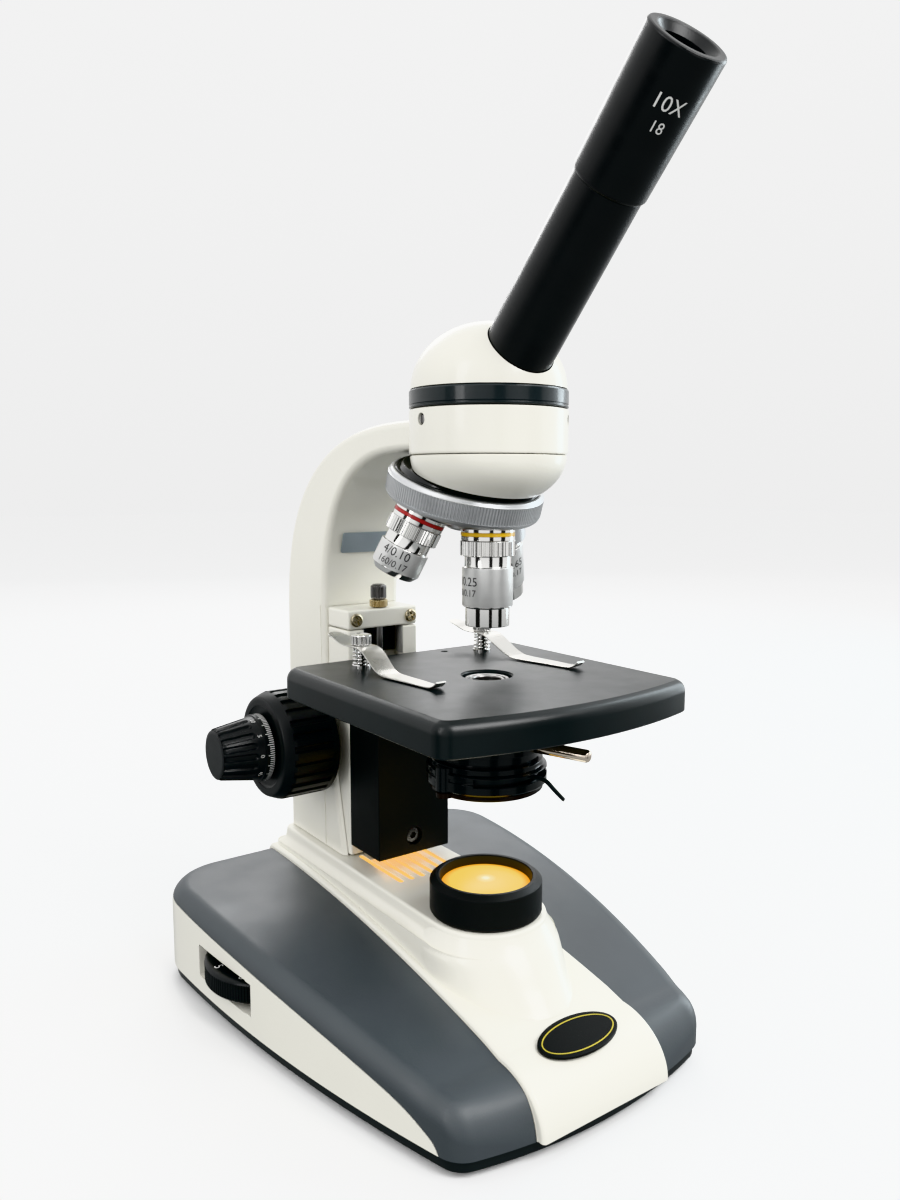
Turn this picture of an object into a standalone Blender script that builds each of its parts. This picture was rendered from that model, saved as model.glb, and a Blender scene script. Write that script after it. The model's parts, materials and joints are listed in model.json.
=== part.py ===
"""Compound microscope with one inclined eye tube, a triple turret and a stage that focuses.

Dimensions are in millimetres and are turned into metres as each mesh is made. X runs to the right,
-Y is the front, and the optical axis stands at X = Y = 0 of the root empty, with Z = 0 on the table.
"""

import bmesh
import bpy
import numpy as np
from math import atan2, cos, degrees, hypot, pi, radians, sin, sqrt
from mathutils import Matrix, Vector

MM = 0.001
GAP = 0.3
AXIS_X, AXIS_Y = 0.95, -18.57
ROUNDNESS = 0.6

# Base: plan outline, height of its top, and the pieces that stand on it.
SIDE_RADIUS, SIDE_REACH, SIDE_CENTRE_Y = 700.0, 89.94, 138.0
FRONT_RADIUS, FRONT_Y = 211.0, -71.5
BACK_Y, BACK_CORNER, FRONT_CORNER = 142.0, 28.0, 12.0
WALL_Z = 7.5
TOP_Y, TOP_Z, TOP_SLOPE, TOP_CROWN = -39.6, 28.4, 0.0945, 18.0
NOSE_Y, NOSE_Z, NOSE_A, NOSE_B = -48.5, 26.0, 22.5, 18.0
ROLL = 8.0
PANEL, CAVITY = 2.5, 5.5
STRIP_HALF, STRIP_RISE = 31.2, 2.0
PANEL_EDGE = ((-66, -20), (-56.1, 6.1), (-48.6, 13.8), (-31.1, 20.9), (6.4, 28.6), (55.3, 34.6),
              (108.5, 38.2), (134, 39.3), (160, 40.0))
PLATE = (2.5, 7.2)
FEET = ((-46, -48), (46, -48), (-62, 116), (62, 116))
PLATEAU_Z, PLATEAU_HALF, MOULDING_Z, MOULDING_HALF = 56.0, 24.9, 48.5, 28.6
BOSS = ((55.8, 23.6, 23.6), (54.6, 24.8, 24.8), (52.6, 25.7, 25.9), (49.8, 27.2, 27.8), (46.4, 28.9, 30.6),
        (42.3, 29.1, 33.6), (38.0, 29.2, 36.6), (35.0, 29.3, 38.9), (31.8, 29.4, 41.4), (28.0, 29.5, 44.0),
        (16.0, 29.5, 44.0))
VENTS_X, VENTS_Y, VENT_WIDTH = (-14, -8.4, -2.8, 2.8, 8.4, 14), (41, 77.4), 2.4
COLLAR_R, LENS_R, COLLAR_Z = 23.0, 18.4, (56.3, 70.8)
DIMMER_R, DIMMER_AT, DIMMER_Z = 27.7, (-63.7, 70.8), (17.5, 26.8)
SLOT_Y, SLOT_Z = (49.5, 90), (14.6, 29.2)
INLET_Z = 23.0
SWITCH_X, SOCKET_X = -16.0, 10.0

# Arm and the slide guide in its front.
ARM_HALF, ARM_BACK, ARM_FRONT, ARM_FOOT_Z = 20.85, 135.3, 97.4, 56.3
ARM_CENTRE = (24.5, 160.0)
ARM_OUTER, ARM_OUTER_POWER = (110.8, 93.7), 2.6
ARM_INNER, ARM_INNER_POWER = (72.9, 81.5), 2.8
ARM_EDGE = 3.2
GUIDE_HALF, GUIDE_Y, GUIDE_Z = 18.6, (77.8, 97.1), (56.7, 162.4)
BRACKET_Z = (162.7, 171.5)
STOP_Y = 82.0

# Focus drive on one axis across the arm.
DRIVE_Y, DRIVE_Z, PINION_R, PINION_TEETH = 100.0, 109.3, 6.5, 14
RACK_Z = (67.0, 137.0)

# Stage, its carrier and the condenser under it.
CARRIER_HALF, CARRIER_Y, CARRIER_Z = 18.84, (52.5, 77.5), (62.2, 148.6)
STAGE_HALF, STAGE_FRONT, STAGE_BOW, STAGE_BACK = 59.66, -51.9, 9.3, 62.2
STAGE_Z, STAGE_SKIRT, STAGE_APERTURE = (148.9, 153.4), 140.9, 10.05
CLIP_POSTS = {"left": (-31.5, 44.3), "right": (31.9, 44.8)}
CLIP_PATHS = {
    "left": ((-36.0, 57.8, 165.2, 6), (-35.2, 55.6, 164.5, 9.6), (-34.0, 52.6, 163.2, 10.4),
             (-32.9, 49.0, 162.2, 9.6), (-31.5, 44.3, 162.0, 9.6), (-31.7, 39.0, 162.0, 9.6),
             (-32.2, 34.8, 161.2, 9.5), (-32.8, 30.4, 159.4, 9.3), (-33.3, 26.0, 157.1, 9.1),
             (-33.6, 21.8, 155.1, 8.9), (-33.5, 17.0, 154.2, 8.5), (-32.6, 2.0, 154.1, 6.8),
             (-31.9, -8.0, 154.1, 6), (-31.8, -11.2, 154.9, 5.4), (-31.7, -13.2, 156.6, 4.6)),
    "right": ((27.4, 58.3, 165.2, 6), (28.2, 56.1, 164.5, 9.6), (29.4, 53.1, 163.2, 10.4),
              (30.5, 49.5, 162.2, 9.6), (31.9, 44.8, 162.0, 9.6), (31.6, 39.5, 162.0, 9.6),
              (31.4, 35.2, 161.2, 9.5), (31.3, 30.8, 159.4, 9.4), (31.5, 26.4, 157.1, 9.3),
              (32.0, 22.0, 155.1, 9.1), (32.5, 17.4, 154.2, 8.8), (34.8, 2.0, 154.1, 7),
              (36.3, -9.0, 154.1, 6), (36.8, -12.4, 154.9, 5.4), (37.1, -14.4, 156.6, 4.6)),
}
CONDENSER_R, CONDENSER_Z, SLEEVE_R = 24.2, (111.0, 121.0), 21.0
LEVER_AZIMUTH, LEVER_Z, LEVER_REACH = 18.0, 128.0, 46.5
IRIS_AZIMUTH = 16.0
FILTER_PIVOT = (-22.5, -2.5)

# Head ring, turret and eye tube.
RING_R, RING_Z, BAND_TOP = 30.6, (239.7, 256.7), 264.0
DOME_R, DOME_RISE, BOWL_R, BOWL_DEPTH = 30.0, 25.3, 30.2, 25.0
TURRET_AT, TURRET_TILT, TURRET_R, SEAT_R = (0, 17.8, 217.8), 18.7, 31.2, 18.8
SHOULDER_Z = 211.8
TUBE_Z, TUBE_TILT, TUBE_TURN = 258.0, 43.8, -4.3
TUBE_ENDS, TUBE_RADII = (24.0, 93.7), (13.1, 12.16)
EYEPIECE_R, EYEPIECE_TOP = 13.0, 139.0

COLOURS = {
    "cream enamel": ((0.80, 0.77, 0.70), 0.0, 0.28),
    "slate enamel": ((0.10, 0.125, 0.15), 0.0, 0.35),
    "black metal": ((0.018, 0.018, 0.02), 0.0, 0.45),
    "black plastic": ((0.015, 0.015, 0.017), 0.0, 0.38),
    "rubber": ((0.012, 0.012, 0.012), 0.0, 0.8),
    "satin steel": ((0.62, 0.61, 0.59), 1.0, 0.34),
    "chrome": ((0.86, 0.86, 0.86), 1.0, 0.12),
    "brass": ((0.72, 0.52, 0.22), 1.0, 0.25),
    "silver label": ((0.50, 0.51, 0.52), 0.6, 0.4),
    "glass": ((0.85, 0.9, 0.9), 0.0, 0.05),
    "warm glow": ((1.0, 0.62, 0.22), 0.0, 0.3),
    "green board": ((0.02, 0.12, 0.05), 0.0, 0.5),
}


# ---------------------------------------------------------------- frames and joints

def at(x, y, z):
    return Matrix.Translation(Vector((x, y, z)))


def along(point, direction, side=(0, 0, 1)):
    """A frame at `point` whose Z runs along `direction` and whose X is square to `side`."""
    z = Vector(direction).normalized()
    x = Vector(side).cross(z)
    x = x.normalized() if x.length > 1e-6 else Vector((1, 0, 0))
    y = z.cross(x)
    frame = Matrix((x, y, z)).transposed().to_4x4()
    frame.translation = Vector(point)
    return frame


def azimuth(angle, radius, z=0.0):
    """A point round the optical axis. Angle 0 is the front, and it grows towards the right."""
    return (radius * sin(radians(angle)), -radius * cos(radians(angle)), z)


TUBE_AXIS = Vector((sin(radians(TUBE_TURN)) * cos(radians(TUBE_TILT)),
                    -cos(radians(TUBE_TURN)) * cos(radians(TUBE_TILT)), sin(radians(TUBE_TILT))))
TUBE = along((0, 0, TUBE_Z), TUBE_AXIS)
TURRET_UP = Vector((0, -sin(radians(TURRET_TILT)), cos(radians(TURRET_TILT))))
TURRET = along(TURRET_AT, TURRET_UP, (0, 1, 0))
ACROSS = along((0, DRIVE_Y, DRIVE_Z), (1, 0, 0))

JOINT_FRAMES = {
    "body": (None, at(0, 0, 0)),
    "head_turn": ("body", at(0, 0, RING_Z[1])),
    "eyepiece_lift": ("head_turn", TUBE @ at(0, 0, TUBE_ENDS[1])),
    "nosepiece_turn": ("body", TURRET),
    "coarse_focus": ("body", ACROSS),
    "fine_focus": ("body", ACROSS),
    "stage_lift": ("body", at(0, 0, STAGE_Z[1])),
    "clip_left": ("stage_lift", at(*CLIP_POSTS["left"], STAGE_Z[1])),
    "clip_right": ("stage_lift", at(*CLIP_POSTS["right"], STAGE_Z[1])),
    "condenser_lever": ("stage_lift", at(0, 0, LEVER_Z)),
    "condenser_lift": ("stage_lift", at(0, 0, CONDENSER_Z[1])),
    "iris": ("condenser_lift", at(0, 0, 116.0)),
    "filter_swing": ("condenser_lift", at(*FILTER_PIVOT, 110.0)),
    "dimmer": ("body", at(*DIMMER_AT, DIMMER_Z[0])),
    "power_switch": ("body", at(SWITCH_X, BACK_Y - 1.0, INLET_Z)),
    "stop_screw_turn": ("body", at(0, STOP_Y, BRACKET_Z[1])),
    "stop_nut_turn": ("body", at(0, STOP_Y, BRACKET_Z[1])),
}


def clear_scene():
    for obj in list(bpy.data.objects):
        bpy.data.objects.remove(obj, do_unlink=True)


def new_collection(name, hidden=False):
    collection = bpy.data.collections.new(name)
    bpy.context.scene.collection.children.link(collection)
    collection.hide_render = hidden
    return collection


def metres(frame):
    frame = frame.copy()
    frame.translation = frame.translation * MM
    return frame


def make_joints():
    """The root empty and one empty on the axis of each joint, each under the one that carries it."""
    root = bpy.data.objects.new("microscope", None)
    root.location = (AXIS_X * MM, AXIS_Y * MM, 0)
    root.empty_display_size = 0.02
    PARTS.objects.link(root)
    empties = {"body": root}
    for name, (carrier, frame) in JOINT_FRAMES.items():
        if carrier is None:
            continue
        empty = bpy.data.objects.new("joint_" + name, None)
        empty.empty_display_size = 0.01
        empty.parent = empties[carrier]
        empty.matrix_basis = metres(JOINT_FRAMES[carrier][1].inverted() @ frame)
        PARTS.objects.link(empty)
        empties[name] = empty
    return empties


def make_materials():
    made = {}
    for name, (colour, metallic, roughness) in COLOURS.items():
        material = bpy.data.materials.new(name)
        material.use_nodes = True
        shader = material.node_tree.nodes["Principled BSDF"]
        shader.inputs["Base Color"].default_value = (*colour, 1)
        shader.inputs["Metallic"].default_value = metallic
        shader.inputs["Roughness"].default_value = roughness
        made[name] = material
    return made


# ---------------------------------------------------------------- making solids

def object_of(name, bm, frame, collection):
    mesh = bpy.data.meshes.new(name)
    bmesh.ops.scale(bm, vec=(MM, MM, MM), verts=bm.verts)
    bm.to_mesh(mesh)
    bm.free()
    obj = bpy.data.objects.new(name, mesh)
    obj.matrix_basis = metres(frame)
    collection.objects.link(obj)
    return obj


def part(name, shape, joint="body", colour="black metal"):
    """Makes a shape a piece of the microscope, riding on a joint."""
    bm, frame, after = shape
    obj = object_of(name, bm, frame, PARTS)
    obj.parent = JOINTS[joint]
    obj.matrix_basis = metres(JOINT_FRAMES[joint][1].inverted() @ frame)
    obj.data.materials.append(MATERIALS[colour])
    after(obj)
    return obj


def helper(name, shape):
    """A shape that only cuts, joins or limits another one."""
    bm, frame, after = shape
    obj = object_of(name, bm, frame, CUTTERS)
    obj.parent = JOINTS["body"]
    obj.hide_render = True
    obj.display_type = "WIRE"
    after(obj)
    return obj


def boolean(obj, operation, shape):
    cutter = shape if isinstance(shape, bpy.types.Object) else helper(obj.name + "_" + operation.lower(),
                                                                      shape)
    modifier = obj.modifiers.new(operation.title(), "BOOLEAN")
    modifier.operation = operation
    modifier.solver = "EXACT"
    modifier.object = cutter
    return obj


def cut(obj, *shapes):
    for shape in shapes:
        boolean(obj, "DIFFERENCE", shape)
    return obj


def join(obj, *shapes):
    for shape in shapes:
        boolean(obj, "UNION", shape)
    return obj


def keep(obj, *shapes):
    for shape in shapes:
        boolean(obj, "INTERSECT", shape)
    return obj


def nothing_more(obj):
    return obj


def turned(profile, frame=None, steps=40, loop=False):
    """A solid of revolution about the frame's Z. The profile of (radius, z) runs from top to bottom
    on its outer side; with `loop` it closes on itself and leaves a bore."""
    bm = bmesh.new()
    steps = 4 * round(steps * ROUNDNESS / 4)
    verts = [bm.verts.new((r, 0, z)) for r, z in profile]
    for a, b in zip(verts, verts[1:] + verts[:1] if loop else verts[1:]):
        bm.edges.new((a, b))

    def screw(obj):
        modifier = obj.modifiers.new("Screw", "SCREW")
        modifier.steps = steps
        modifier.render_steps = steps
        modifier.axis = "Z"
        modifier.use_merge_vertices = True
        modifier.merge_threshold = 0.00001
    return bm, frame or Matrix(), screw


def lofted(rings, frame=None, across=False):
    """A closed solid through rings that have equally many points, from the lowest to the highest.
    With `across`, the top is filled by strips between mirrored points rather than by one face."""
    bm = bmesh.new()
    loops = [[bm.verts.new(p) for p in ring] for ring in rings]
    count = len(loops[0])
    for low, high in zip(loops, loops[1:]):
        for i in range(count):
            j = (i + 1) % count
            bm.faces.new((low[i], low[j], high[j], high[i]))
    bm.faces.new(loops[0][::-1])
    if across:
        fill_across(bm, loops[-1])
    else:
        bm.faces.new(loops[-1])
    return bm, frame or Matrix(), nothing_more


def fill_across(bm, loop):
    count = len(loop)
    for i in range(count // 2):
        corners = [loop[i], loop[i + 1], loop[count - i - 1], loop[(count - i) % count]]
        bm.faces.new(dict.fromkeys(corners))


def circle(radius, z, count, centre=(0, 0), teeth=0, depth=0.0, wide=0.5):
    """A ring of points. With teeth, the radius drops by `depth` over part of each pitch."""
    points = []
    for i in range(count):
        angle = 2 * pi * i / count
        r = radius
        if teeth:
            r -= depth if (i * teeth / count) % 1 >= wide - 1e-6 else 0
        points.append((centre[0] + r * cos(angle), centre[1] + r * sin(angle), z))
    return points


def extruded(outline, low, high, frame=None, edge=0.0, segments=2, rounded=None):
    """A plan outline of (u, v) run from `low` to `high` along the frame's Z, with rounded rims."""
    bm = bmesh.new()
    weight = bm.edges.layers.float.new("bevel_weight_edge")
    bottom = [bm.verts.new((u, v, low)) for u, v in outline]
    top = [bm.verts.new((u, v, high)) for u, v in outline]
    count = len(outline)
    for i in range(count):
        j = (i + 1) % count
        bm.faces.new((bottom[i], bottom[j], top[j], top[i]))
    bm.faces.new(bottom[::-1])
    bm.faces.new(top)
    for loop in (bottom, top):
        for i in range(count):
            a, b = loop[i], loop[(i + 1) % count]
            if rounded is None or rounded((a.co + b.co) / 2):
                bm.edges.get((a, b))[weight] = 1.0
    bmesh.ops.recalc_face_normals(bm, faces=bm.faces)

    def bevel(obj):
        if edge:
            modifier = obj.modifiers.new("Bevel", "BEVEL")
            modifier.limit_method = "WEIGHT"
            modifier.width = edge * MM
            modifier.segments = segments
    return bm, frame or Matrix(), bevel


def box(x, y, z, edge=0.0, segments=2):
    bm = bmesh.new()
    bmesh.ops.create_cube(bm, size=1)
    for v in bm.verts:
        v.co = Vector([a[0] if c < 0 else a[1] for a, c in zip((x, y, z), v.co)])

    def bevel(obj):
        if edge:
            modifier = obj.modifiers.new("Bevel", "BEVEL")
            modifier.limit_method = "NONE"
            modifier.width = edge * MM
            modifier.segments = segments
    return bm, Matrix(), bevel


def placed(shape, frame):
    bm, own, after = shape
    return bm, frame @ own, after


def rod(radius, low, high, frame=None, steps=24, chamfer=0.0):
    """A plain cylinder about the frame's Z, with chamfered ends where asked."""
    c = chamfer
    if not c:
        return turned([(0, high), (radius, high), (radius, low), (0, low)], frame, steps)
    return turned([(0, high), (radius - c, high), (radius, high - c), (radius, low + c),
                   (radius - c, low), (0, low)], frame, steps)


def smooth_curve(points, per_span=4):
    """A curve through the points, bending evenly from one to the next."""
    p = np.array(points, float)
    ends = np.vstack([2 * p[0] - p[1], p, 2 * p[-1] - p[-2]])
    t = np.linspace(0, 1, per_span, endpoint=False)[:, None]
    out = []
    for a, b, c, d in zip(ends, ends[1:], ends[2:], ends[3:]):
        out.append(b + t * (c - a) / 2 + t**2 * (a - 2.5 * b + 2 * c - d / 2)
                   + t**3 * (1.5 * (b - c) + (d - a) / 2))
    return [tuple(q) for q in np.vstack(out)] + [tuple(p[-1])]


def arc(centre, radius, start, end, count):
    """Points on a circle in plan, from one angle to another in degrees."""
    angles = np.radians(np.linspace(start, end, count))
    return [(centre[0] + radius * cos(a), centre[1] + radius * sin(a)) for a in angles]


def rounded_box(half_x, half_y, radius, count=4, centre=(0, 0)):
    points = []
    for k, (sx, sy) in enumerate(((1, 1), (-1, 1), (-1, -1), (1, -1))):
        corner = (centre[0] + sx * (half_x - radius), centre[1] + sy * (half_y - radius))
        points += arc(corner, radius, 90 * k, 90 * k + 90, count)
    return points


# ---------------------------------------------------------------- base

def circle_meet(a, ra, b, rb):
    """Where two circles cross, on the side of greater X."""
    gap = hypot(b[0] - a[0], b[1] - a[1])
    t = (ra**2 - rb**2 + gap**2) / (2 * gap)
    h = sqrt(ra**2 - t**2)
    ux, uy = (b[0] - a[0]) / gap, (b[1] - a[1]) / gap
    sides = [(a[0] + t * ux - s * h * uy, a[1] + t * uy + s * h * ux) for s in (1, -1)]
    return max(sides)


SIDE_CENTRE = (SIDE_REACH - SIDE_RADIUS, SIDE_CENTRE_Y)
FRONT_CENTRE = (0.0, FRONT_Y + FRONT_RADIUS)
FRONT_FILLET = circle_meet(SIDE_CENTRE, SIDE_RADIUS - FRONT_CORNER, FRONT_CENTRE,
                           FRONT_RADIUS - FRONT_CORNER)
BACK_FILLET = (SIDE_CENTRE[0] + sqrt((SIDE_RADIUS - BACK_CORNER)**2
                                     - (BACK_Y - BACK_CORNER - SIDE_CENTRE_Y)**2), BACK_Y - BACK_CORNER)


def base_outline(inset=0.0):
    """Plan outline from the middle of the front, round the right to the back, and round the left."""
    front = degrees(atan2(FRONT_FILLET[1] - FRONT_CENTRE[1], FRONT_FILLET[0] - FRONT_CENTRE[0]))
    low = degrees(atan2(FRONT_FILLET[1] - SIDE_CENTRE[1], FRONT_FILLET[0] - SIDE_CENTRE[0]))
    high = degrees(atan2(BACK_FILLET[1] - SIDE_CENTRE[1], BACK_FILLET[0] - SIDE_CENTRE[0]))
    right = arc(FRONT_CENTRE, FRONT_RADIUS - inset, -90, front, 4)
    right += arc(FRONT_FILLET, FRONT_CORNER - inset, front, low, 5)[1:]
    for share in (0.04, 0.1, 0.2, 0.36, 0.56, 0.78, 1.0):
        angle = radians(low + (high - low) * share)
        right.append((SIDE_CENTRE[0] + (SIDE_RADIUS - inset) * cos(angle),
                      SIDE_CENTRE[1] + (SIDE_RADIUS - inset) * sin(angle)))
    right += arc(BACK_FILLET, BACK_CORNER - inset, high, 90, 7)[1:]
    left = [(-x, y) for x, y in right[:0:-1]]
    return right + left


def top_height(y):
    """Height of the base's top where the side panels meet the centre strip."""
    if y >= TOP_Y:
        s = (y - TOP_Y) / 173.6
        return TOP_Z + TOP_SLOPE * (y - TOP_Y) + TOP_CROWN * s * (1 - s)
    if y >= NOSE_Y:
        return TOP_Z + (NOSE_Z - TOP_Z) * (TOP_Y - y) / (TOP_Y - NOSE_Y)
    reach = min(1.0, (NOSE_Y - y) / NOSE_A)
    return NOSE_Z - NOSE_B + NOSE_B * sqrt(1 - reach**2)


def base_body(skin=0.0, floor=WALL_Z):
    """The base's outer form, or the same form drawn in by `skin` on every side."""
    rings = [[(x, y, floor) for x, y in base_outline(skin)]]
    for k, angle in enumerate((0, 45, 90) if skin else (0, 22, 45, 68, 90)):
        inset = ROLL * (1 - cos(radians(angle)))
        drop = ROLL * (1 - sin(radians(angle)))
        outline = base_outline(skin + inset)
        rings.append([(x, y, max(top_height(y - skin) - drop - skin, WALL_Z + 0.7 + 0.9 * k - skin * 0.4))
                      for x, y in outline])
    return lofted(rings, across=True)


def side_zone(x_low, rise, side):
    """Everything on one side of the centre strip and above the edge of that side's panel."""
    edge = [(y - rise * 0.6, z + rise) for y, z in smooth_curve(PANEL_EDGE, 3)]
    outline = [(-90.0, edge[0][1])] + edge + [(160.0, 90.0), (-90.0, 90.0)]
    bm, frame, after = extruded(outline, x_low, 120.0, None)
    for v in bm.verts:
        v.co = Vector((side * v.co.z, v.co.x, v.co.y))
    bmesh.ops.recalc_face_normals(bm, faces=bm.faces)
    return bm, Matrix(), after


def in_side_view(outline, low, high, edge=0.0, segments=2, rounded=None):
    """A side view outline of (y, z), run from x = low to x = high."""
    bm, frame, after = extruded(outline, low, high, None, edge, segments, rounded)
    for v in bm.verts:
        v.co = Vector((v.co.z, v.co.x, v.co.y))
    bmesh.ops.recalc_face_normals(bm, faces=bm.faces)
    return bm, Matrix(), after


def centre_strip():
    """The raised band that runs over the base from front to back."""
    nose = [(NOSE_Y - 24.0 * sin(radians(a)),
             WALL_Z + GAP + (NOSE_Z + STRIP_RISE - WALL_Z - GAP) * cos(radians(a)))
            for a in (90, 82, 72, 60, 48, 36, 24, 12)]
    top = [(y, top_height(y) + STRIP_RISE) for y in (-48.5, -39.6, -28, -12, 8, 32, 60, 92, 120, 136)]
    back = [(BACK_Y - 6.3 + 6 * sin(radians(a)), top_height(136) + STRIP_RISE - 6 + 6 * cos(radians(a)))
            for a in (30, 60, 90)]
    outline = nose + top + back + [(BACK_Y - 0.3, 12.0), (-60.0, 12.0), (-60.0, WALL_Z + GAP)]
    strip = in_side_view(outline, -STRIP_HALF, STRIP_HALF, 1.7, 2,
                         lambda middle: middle.x > -73 and middle.y > 13)
    return strip


def tier(rows):
    """A long plinth with a round front about the optical axis. Rows are (z, half width, back)."""
    rings = []
    for z, half, back in rows:
        plan = arc((0, 0), half, 180, 360, 11)
        plan += arc((half - 5, back - 5), 5, 0, 90, 3) + arc((5 - half, back - 5), 5, 90, 180, 3)
        rings.append([(x, y, z) for x, y in plan])
    return lofted(rings)


def boss_form(rows, steps):
    """The lamp's boss: round behind, and drawn out to the front. Rows are (z, half width, front)."""
    rings = []
    for z, half, front in rows:
        angles = [2 * pi * k / steps for k in range(steps)]
        rings.append([(half * cos(a), (half if sin(a) > 0 else front) * sin(a), z) for a in angles])
    return lofted(rings)


def make_casting():
    casting = part("base_casting", base_body(), colour="cream enamel")
    join(casting, helper("strip_form", centre_strip()))
    join(casting, tier(((30, 28.9, 139.2), (MOULDING_Z - 0.9, MOULDING_HALF, 138.9),
                        (MOULDING_Z, 27.8, 138.2),
                        (MOULDING_Z + 1.4, 26.2, 136.7), (51.2, 25.4, 136.0), (52.8, 25.1, 135.8),
                        (PLATEAU_Z - 0.9, PLATEAU_HALF, 135.6), (PLATEAU_Z, PLATEAU_HALF - 0.9, 134.7))))
    join(casting, helper("lamp_boss", boss_form(BOSS[::-1], 48)))
    for side in (-1, 1):
        recess = helper("panel_recess", side_zone(STRIP_HALF + 0.15, 0.0, side))
        cut(recess, helper("recess_core", base_body(PANEL, 3.0)))
        cut(casting, recess)
    cut(casting, base_body(CAVITY, -4.0))
    cut(casting, box((-18.4, 18.4), (-12, 91), (22, 51.3)), rod(16.4, 15, 70, steps=32))
    for x in VENTS_X:
        half = (VENTS_Y[1] - VENTS_Y[0]) / 2
        outline = rounded_box(VENT_WIDTH / 2, half, VENT_WIDTH / 2 - 0.2, 2, (x, sum(VENTS_Y) / 2))
        cut(casting, extruded(outline, 47, 62))
    centre = (sum(SLOT_Y) / 2, sum(SLOT_Z) / 2)
    cut(casting, in_side_view(rounded_box((SLOT_Y[1] - SLOT_Y[0]) / 2, (SLOT_Z[1] - SLOT_Z[0]) / 2, 2.0, 3,
                                          centre),
                              -104, -70))
    cut(casting, box((-84.6, -70), (46, 96), (SLOT_Z[0] + 0.4, SLOT_Z[1] - 0.4)))
    cut(casting, box((-25.3, 24.3), (BACK_Y - 12, BACK_Y + 6), (INLET_Z - 10.3, INLET_Z + 10.3)))
    for x, y in ((-14, 122), (14, 122), (-14, 104), (14, 104)):
        cut(casting, rod(2.6, 30, 70, at(x, y, 0), 16))
    return casting


def make_panel(name, side):
    panel = part(name, side_zone(STRIP_HALF + 0.45, GAP, side), colour="slate enamel")
    keep(panel, helper(name + "_form", base_body()))
    cut(panel, helper(name + "_core", base_body(PANEL - 0.45, 3.0)))
    return panel


def make_plate_and_feet():
    plate = part("base_plate", extruded(base_outline(1.3), *PLATE), colour="black metal")
    for k, (x, y) in enumerate(FEET):
        cut(plate, rod(3.2, -5, 12, at(x, y, 0), 20))
        name = "foot_" + ("front_left", "front_right", "back_left", "back_right")[k]
        part(name, turned([(0, 5.6), (2.9, 5.6), (2.9, 2.2), (9.6, 2.2), (10, 1.8), (9.2, 0), (0, 0)],
                          at(x, y, 0), 28),
             colour="rubber")
    for x in VENTS_X[::2]:
        cut(plate, extruded(rounded_box(1.5, 14, 1.2, 2, (x, 88)), -2, 12))


def make_badge():
    slope = atan2(top_height(-49) - top_height(-61), 12.0)
    normal = Vector((0, -sin(slope), cos(slope)))
    middle = Vector((0, -55.2, top_height(-55.2) + STRIP_RISE)) + normal * 1.1
    ring = [[(rx * cos(2 * pi * i / 28), ry * sin(2 * pi * i / 28), z) for i in range(28)]
            for rx, ry, z in ((18.5, 8.75, -0.5), (18.5, 8.75, 0.25), (17.9, 8.15, 0.7),
                              (16.9, 7.2, 0.35))]
    part("badge", lofted(ring, along(middle, normal, (0, 1, 0))), colour="black plastic")


def make_lamp():
    low, high = COLLAR_Z
    part("lamp_collar", turned([(19.4, high), (22.1, high), (COLLAR_R, high - 0.9), (COLLAR_R, low + 1.2),
                                (22.4, low), (15.6, low), (15.6, 63.4), (18.8, 63.4), (18.8, high - 0.6)],
                               at(0, 0, 0), 56, True), colour="black metal")
    part("field_lens", turned([(0, 70.1), (6, 69.8), (11, 69.0), (15.5, 67.7), (LENS_R, 66.2),
                               (LENS_R, 63.8),
                               (15.2, 63.7), (0, 63.7)], at(0, 0, 0), 40), colour="warm glow")
    part("led_lamp", turned([(0, 36), (2.6, 35.4), (4.4, 33.4), (4.8, 30), (4.8, 26), (11, 26), (11, 18),
                             (15, 18), (15, 7.6), (0, 7.6)], at(0, 0, 0), 28), colour="satin steel")


def make_dimmer():
    x, y = DIMMER_AT
    board = part("power_board", box((-78, -24), (52, 108), (9.6, 11.2)), colour="green board")
    for sx, sy in ((-73, 57), (-29, 57), (-73, 103), (-29, 103)):
        join(board, rod(3, 7.6, 10.4, at(sx, sy, 0), 16))
    join(board, turned([(0, 29), (2.4, 29), (3, 28.4), (3, 17), (9, 17), (9, 10.4), (0, 10.4)],
                       at(x, y, 0), 24))
    join(board, rod(6, 10.4, 26, at(-32, 92, 0), 20, 0.6))
    low, high = DIMMER_Z
    rings = [circle(r, z, 52, (0, 0), 26 if t else 0, t) for r, z, t in
             ((DIMMER_R - 1.2, 0, 0), (DIMMER_R, 0.8, 0.55), (DIMMER_R, high - low - 0.8, 0.55),
              (DIMMER_R - 1.2, high - low, 0))]
    wheel = part("dimmer_wheel", lofted(rings, at(x, y, low)), "dimmer", "black plastic")
    cut(wheel, rod(3.3, low - 2, high + 2, at(x, y, 0), 20))


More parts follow.
